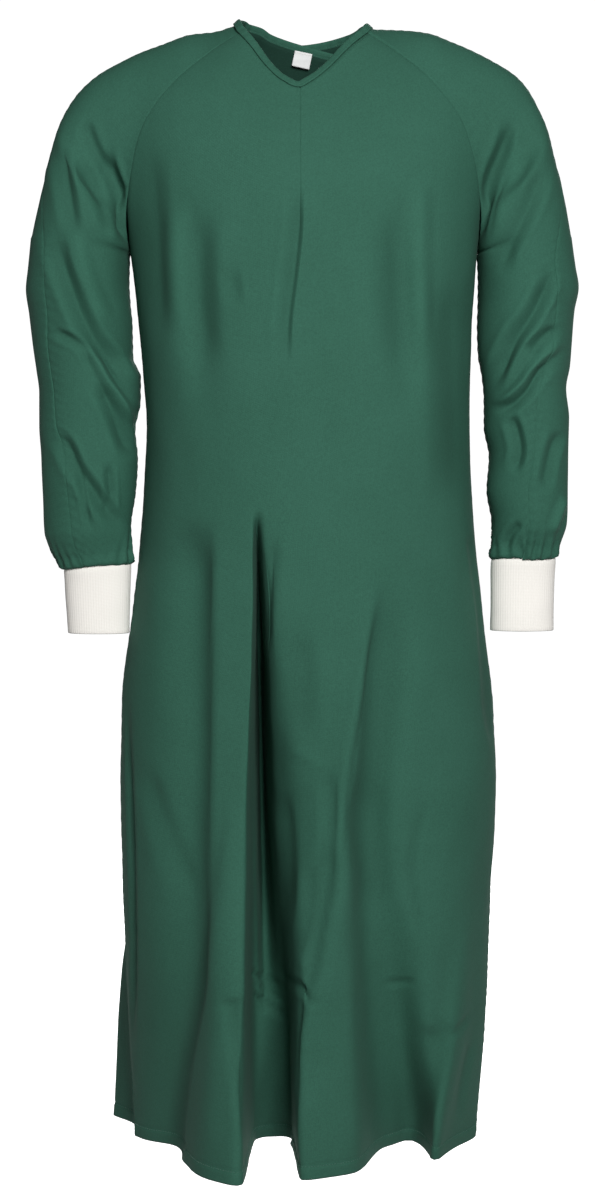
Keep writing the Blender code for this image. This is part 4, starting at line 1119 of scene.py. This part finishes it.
def white_rows(look, tree, shader, pattern, shades, strength, distance):
    """Rows of knit loops or cross threads, as two near whites and a low bump."""
    place = add(tree, "ShaderNodeUVMap", uv_map="cloth").outputs["UV"]
    rows = add(
        tree, "ShaderNodeTexWave", {"Vector": place}, pattern, wave_type="BANDS", bands_direction="Y"
    ).outputs["Fac"]
    white = add(tree, "ShaderNodeMix", {"Factor": rows}, data_type="RGBA")
    white.inputs["A"].default_value, white.inputs["B"].default_value = (linear(code) for code in shades)
    tree.links.new(white.outputs["Result"], shader.inputs["Base Color"])
    bump = add(tree, "ShaderNodeBump", {"Height": rows}, {"Strength": strength, "Distance": distance})
    tree.links.new(bump.outputs[0], shader.inputs["Normal"])
    return look


def rib_knit(name):
    """Bleached cotton rib: soft white, with rows of loops across its ribs."""
    # A real row of loops is 0.7 mm; it is drawn at 1.6 mm so that a render can show it.
    pattern = {"Scale": WAVE_TURN / (1.6 * MM), "Distortion": 1.5, "Detail": 1}
    return white_rows(*finish_of(name, 0.9, 0.15), pattern, ("#f3efe8", "#f8f5ef"), 0.15, 0.3 * MM)


def woven_label(name):
    """Woven polyester label: white satin with cross threads, drawn at 1.2 mm so that they show."""
    pattern = {"Scale": WAVE_TURN / (1.2 * MM), "Distortion": 0.4}
    return white_rows(*finish_of(name, 0.6, 0.1), pattern, ("#dfe1e0", "#f2f3f2"), 0.3, 0.2 * MM)


def spun_thread(name, code):
    """Spun polyester sewing thread: a shade off the cloth, twisted."""
    look, tree, shader = finish_of(name, 0.6, 0.2)
    solid = add(tree, "ShaderNodeTexCoord").outputs["Object"]
    twist = add(tree, "ShaderNodeTexNoise", {"Vector": solid}, {"Scale": 900, "Detail": 1}).outputs["Fac"]
    shade = add(tree, "ShaderNodeMapRange", {"Value": twist}, {"To Min": 0.85, "To Max": 1.15}).outputs[0]
    base = add(tree, "ShaderNodeRGB")
    base.outputs[0].default_value = linear(code)
    toned = add(
        tree, "ShaderNodeVectorMath", {0: base.outputs[0], "Scale": shade}, operation="SCALE"
    )
    tree.links.new(toned.outputs[0], shader.inputs["Base Color"])
    return look


cotton = woven_cotton("green_woven_cotton", ("#2f5a4a", "#376555"))
# The inside faces of the cloth: the same cotton coloured much darker, as painted shade, so that the inside
# of the neck is as dark as the shade that falls there.
cotton_inside_painted_shade = woven_cotton("green_woven_cotton_inside_painted_shade", ("#1b382e", "#1e3c32"))
knit = rib_knit("white_rib_knit")
label_weave = woven_label("white_woven_label")
green_thread = spun_thread("green_sewing_thread", "#2f5f50")
white_thread = spun_thread("white_sewing_thread", "#e4e2dc")

# The panels and sleeves.


def dressed(node, points, flip, groups, seams, meets, seed, extra):
    """A panel of cloth over its solid: its creases, its seams and its own unevenness."""
    out = outward(points, flip)
    crease = creased(points, out, groups)
    for side in meets:
        crease *= ease(gap_to(points, side), 0.0, CALM_BY_SEAM)
    uneven = sum(
        rumpled(points, size, long, seed + turn) * high
        for (size, long, turn), high in zip(RUMPLE_FORMS, RUMPLE[node.split("_")[0]])
    )
    push = crease + uneven * MM + sewn(points, seams, seed) + extra
    points = points - out * push[..., None]
    first, last = "first" in seams, "last" in seams
    # Painted shade in the creases and painted highlight on the ridges, passed to the shader as the crease
    # attribute.
    tone = np.clip(-crease / (CREASE_SHADE_DEEP * MM), -1, 1)
    tone = np.pad(tone, ((0, 0), (int(first), int(last))), mode="edge")
    sewn_in = turned_in(points, out, first, last)
    piece = thickened(grid_piece(node + "_cloth", sewn_in, flip, tone), SHEET)
    piece.data.materials.append(cotton)
    # The inner faces take the darker cotton: painted shade.
    piece.data.materials.append(cotton_inside_painted_shade)
    piece.modifiers["thickness"].material_offset = 1
    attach(piece, "root")
    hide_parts(node)
    return piece, points, out


heights = np.unique(np.concatenate([np.linspace(a, b, n + 1) for a, b, n in SKIRT_ROWS]))[::-1]
hem_row = YOKE_QUADS + int(np.argmin(np.abs(heights - HEM_Z - HEM_TURN)))
front = front_grid(FRONT_QUADS, YOKE_QUADS, heights)
backs = {side: back_grid(side, BACK_QUADS, YOKE_QUADS, heights) for side in ("left", "right")}
sleeves = {
    (side, half): sleeve_grid(side, half, SLEEVE_QUADS, CAP_QUADS, ARM_QUADS)
    for side in ("left", "right")
    for half in ("front", "back")
}
neck = neck_line(front, backs["left"], backs["right"], sleeves)

columns = edged(FRONT_QUADS, step=FRONT_STEP, zones=(VALLEY_COLUMNS, CENTRE_COLUMNS))
grid = taken(front, np.arange(len(front)), columns)
front_piece, front_points, front_out = dressed(
    "front_panel", grid, False, ("front",), ("first", "last"), ("first", "last"),
    PANEL_SEEDS["front"], hemmed(grid) + centre_seam(grid),
)
hem_line = stitched("front_hem_stitches", front_points[hem_row], front_out[hem_row], green_thread)
# The tack across the lower end of the pleat's stitching.
seen_column, seen_row = seen_at(front_points)
tack_row = int(np.argmin(np.abs(seen_row[:, front_points.shape[1] // 2] - TACK_ROW)))
on_tack = (seen_column[tack_row] > TACK_FROM) & (seen_column[tack_row] < TACK_TO)
tack = stitched(
    "pleat_tack_stitches", front_points[tack_row, on_tack], front_out[tack_row, on_tack],
    green_thread, length=0.0018,
)
for side, columns, edge in (
    ("left", edged(BACK_QUADS, last=False), "first"),
    ("right", edged(BACK_QUADS, first=False), "last"),
):
    grid = taken(backs[side], np.arange(len(backs[side])), columns)
    piece, points, out = dressed(
        "back_" + side, grid, True, ("back",), (edge,), (edge,), PANEL_SEEDS[side], hemmed(grid)
    )
    line = stitched(f"back_{side}_hem_stitches", points[hem_row], out[hem_row], green_thread)
for (side, half), whole in sleeves.items():
    grid = taken(whole, edged(len(whole) - 1, first=False), edged(SLEEVE_QUADS))
    phase, seed = SLEEVE_SEEDS[side, half]
    gathers, hang = gathered(grid, phase)
    grid[..., 2] -= hang
    piece, _, _ = dressed(
        f"sleeve_{half}_{side}", grid, side == "left", (side + " sleeve", side + " sleeve behind"),
        ("first", "last"), ("first",) if half == "front" else ("last",), seed, gathers,
    )

# The knit cuffs.


def knit_rows(side):
    """A cuff in rings, ribbed outside, with the knit turned up inside at the wrist."""
    ring = cuff_grid(side, CUFF_STEPS, RIBS * RIB_QUADS)
    ring = np.concatenate([ring, ring[:, :1]], 1)
    out = outward(ring, side == "left")
    out[:, 0] = out[:, -1] = unit(out[:, 0] + out[:, -1])
    turn = np.arange(ring.shape[1]) / RIB_QUADS * math.tau
    rib = RIB_DEEP * (0.5 - np.abs(np.cos(turn / 2)) ** RIB_ROUND)[None, :]
    soft = rumpled(ring, KNIT_SOFT_WIDE, 1.0, KNIT_SEED) * KNIT_SOFT
    soft[:, -1] = soft[:, 0]
    push = rib + soft + DRAWN_IN * ease(DRAWN_REACH - run_of(ring, 0), 0, DRAWN_REACH)
    outer = ring - out * push[..., None]
    fall = np.array([0, 0, -1.0])
    turned = [
        outer[-1] - out[-1] * KNIT * (1 - math.cos(a)) / 2 + fall * KNIT / 2 * math.sin(a)
        for a in np.linspace(0, math.pi, TURN_STEPS)[1:]
    ]
    inner = [turned[-1] - fall * rise for rise in np.linspace(0, TURN_UP, TURN_STEPS)[1:]]
    rows = np.concatenate([outer, np.array(turned), np.array(inner)])
    rows[:, -1] = rows[:, 0]
    return rows


for side in ("left", "right"):
    piece = thickened(grid_piece(f"cuff_{side}_knit", knit_rows(side), side == "left", joined=True), SHEET)
    piece.data.materials.append(knit)
    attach(piece, "root")
    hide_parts("cuff_" + side)

# The neck binding: a strip folded over the neck edge, stitched along its lower edges.
low, way, out = binding_frame(neck, BINDING_STEPS)
pucker = 1 + BINDING_PUCKER * wavering(lengths(low), BINDING_STEP, BINDING_DRIFT)
rows = np.array([
    low + way * rise * MM + out * (away * MM * pucker - BINDING / 2)[:, None]
    for rise, away in BINDING_PROFILE
])
ends = rows[:-1].mean(axis=0)
rows[:, 0], rows[:, -1] = ends[0], ends[-1]
band = grid_piece("neck_binding_strip", rows, True, joined=True)
band.data.materials.append(cotton)
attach(band, "root")
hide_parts("neck_binding")
seam = stitched("neck_binding_stitches", rows[BINDING_SEWN], out, green_thread, length=0.0022)

# The label: bare, folded at its top and sewn down there.
label = label_grid(LABEL_FINE)
out = outward(label, False)
down = run_of(label, 0)
bow = LABEL_BOW * np.sin(down / down.max() * math.pi * LABEL_WAVES)
label = label - out * (bow - LABEL_PINCH * np.exp(-down / LABEL_PINCH_REACH))[..., None]
tag = thickened(grid_piece("size_label_tag", label), TAG)
tag.data.materials.append(label_weave)
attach(tag, "root")
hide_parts("size_label")
tacks = stitched(
    "size_label_stitches", label[LABEL_SEWN, 1:-1], out[LABEL_SEWN, 1:-1], white_thread,
    length=0.0018, gap=0.0006, thread=0.0003,
)

# The floor, the light and the camera.
FLOOR_DROP, FLOOR_WIDE, FLOOR_FROM, FLOOR_TO = 0.30, 12.0, -0.6, 20.0
SKY_SEEN, SKY_LIGHTS = 1.05, 0.08  # how bright the background looks, and how much it lights


def studio_paper(name):
    """Matt white paper, glowing a little so that it stays as pale as the background."""
    look, tree, shader = finish_of(name, 1.0)
    shader.inputs["Base Color"].default_value = linear("#f4f4f4")
    shader.inputs["Emission Color"].default_value = (1, 1, 1, 1)
    shader.inputs["Emission Strength"].default_value = 0.97
    return look


bm = bmesh.new()
bmesh.ops.create_grid(bm, x_segments=1, y_segments=1, size=1)
bmesh.ops.scale(bm, verts=bm.verts[:], vec=Vector((FLOOR_WIDE, (FLOOR_TO - FLOOR_FROM) / 2, 1)))
middle = Vector((0, (FLOOR_FROM + FLOOR_TO) / 2, HEM_Z - FLOOR_DROP))
bmesh.ops.translate(bm, verts=bm.verts[:], vec=middle)
floor = finished("floor", bm)
floor.data.materials.append(studio_paper("white_studio_paper"))
floor.visible_diffuse = False

LIGHT_COLUMNS = ("name", "place", "size", "watts")
LIGHTS = (
    ("key_light", (0.60, -3.3, 0.75), 1.1, 126),
    ("fill_light", (-1.9, -2.6, -0.2), 1.6, 8),
    ("back_light", (0.4, 3.2, 0.6), 2.0, 95),
)
aim = Vector((0, 0, -0.60))
for row in LIGHTS:
    light = dict(zip(LIGHT_COLUMNS, row))
    lamp = bpy.data.lights.new(light["name"], "AREA")
    lamp.size, lamp.energy = light["size"], light["watts"]
    made = bpy.data.objects.new(light["name"], lamp)
    made.location = light["place"]
    made.rotation_euler = (aim - made.location).to_track_quat("-Z", "Y").to_euler()
    bpy.context.scene.collection.objects.link(made)

# A white background, which lights the gown only faintly.
world = bpy.data.worlds.new("studio")
bpy.context.scene.world = world
world.use_nodes = True
sky = world.node_tree.nodes["Background"]
sky.inputs["Color"].default_value = (1, 1, 1, 1)
rays = add(world.node_tree, "ShaderNodeLightPath").outputs["Is Camera Ray"]
strength = add(
    world.node_tree, "ShaderNodeMapRange", {"Value": rays}, {"To Min": SKY_LIGHTS, "To Max": SKY_SEEN}
)
world.node_tree.links.new(strength.outputs[0], sky.inputs["Strength"])

bpy.context.scene.view_settings.view_transform = "Standard"

lens = bpy.data.cameras.new("photo_camera")
lens.lens, lens.sensor_width = LENS, SENSOR
camera = bpy.data.objects.new("photo_camera", lens)
camera.location = EYE
camera.rotation_euler = (math.radians(90) - LOOKS_DOWN, 0, 0)
bpy.context.scene.collection.objects.link(camera)
bpy.context.scene.camera = camera
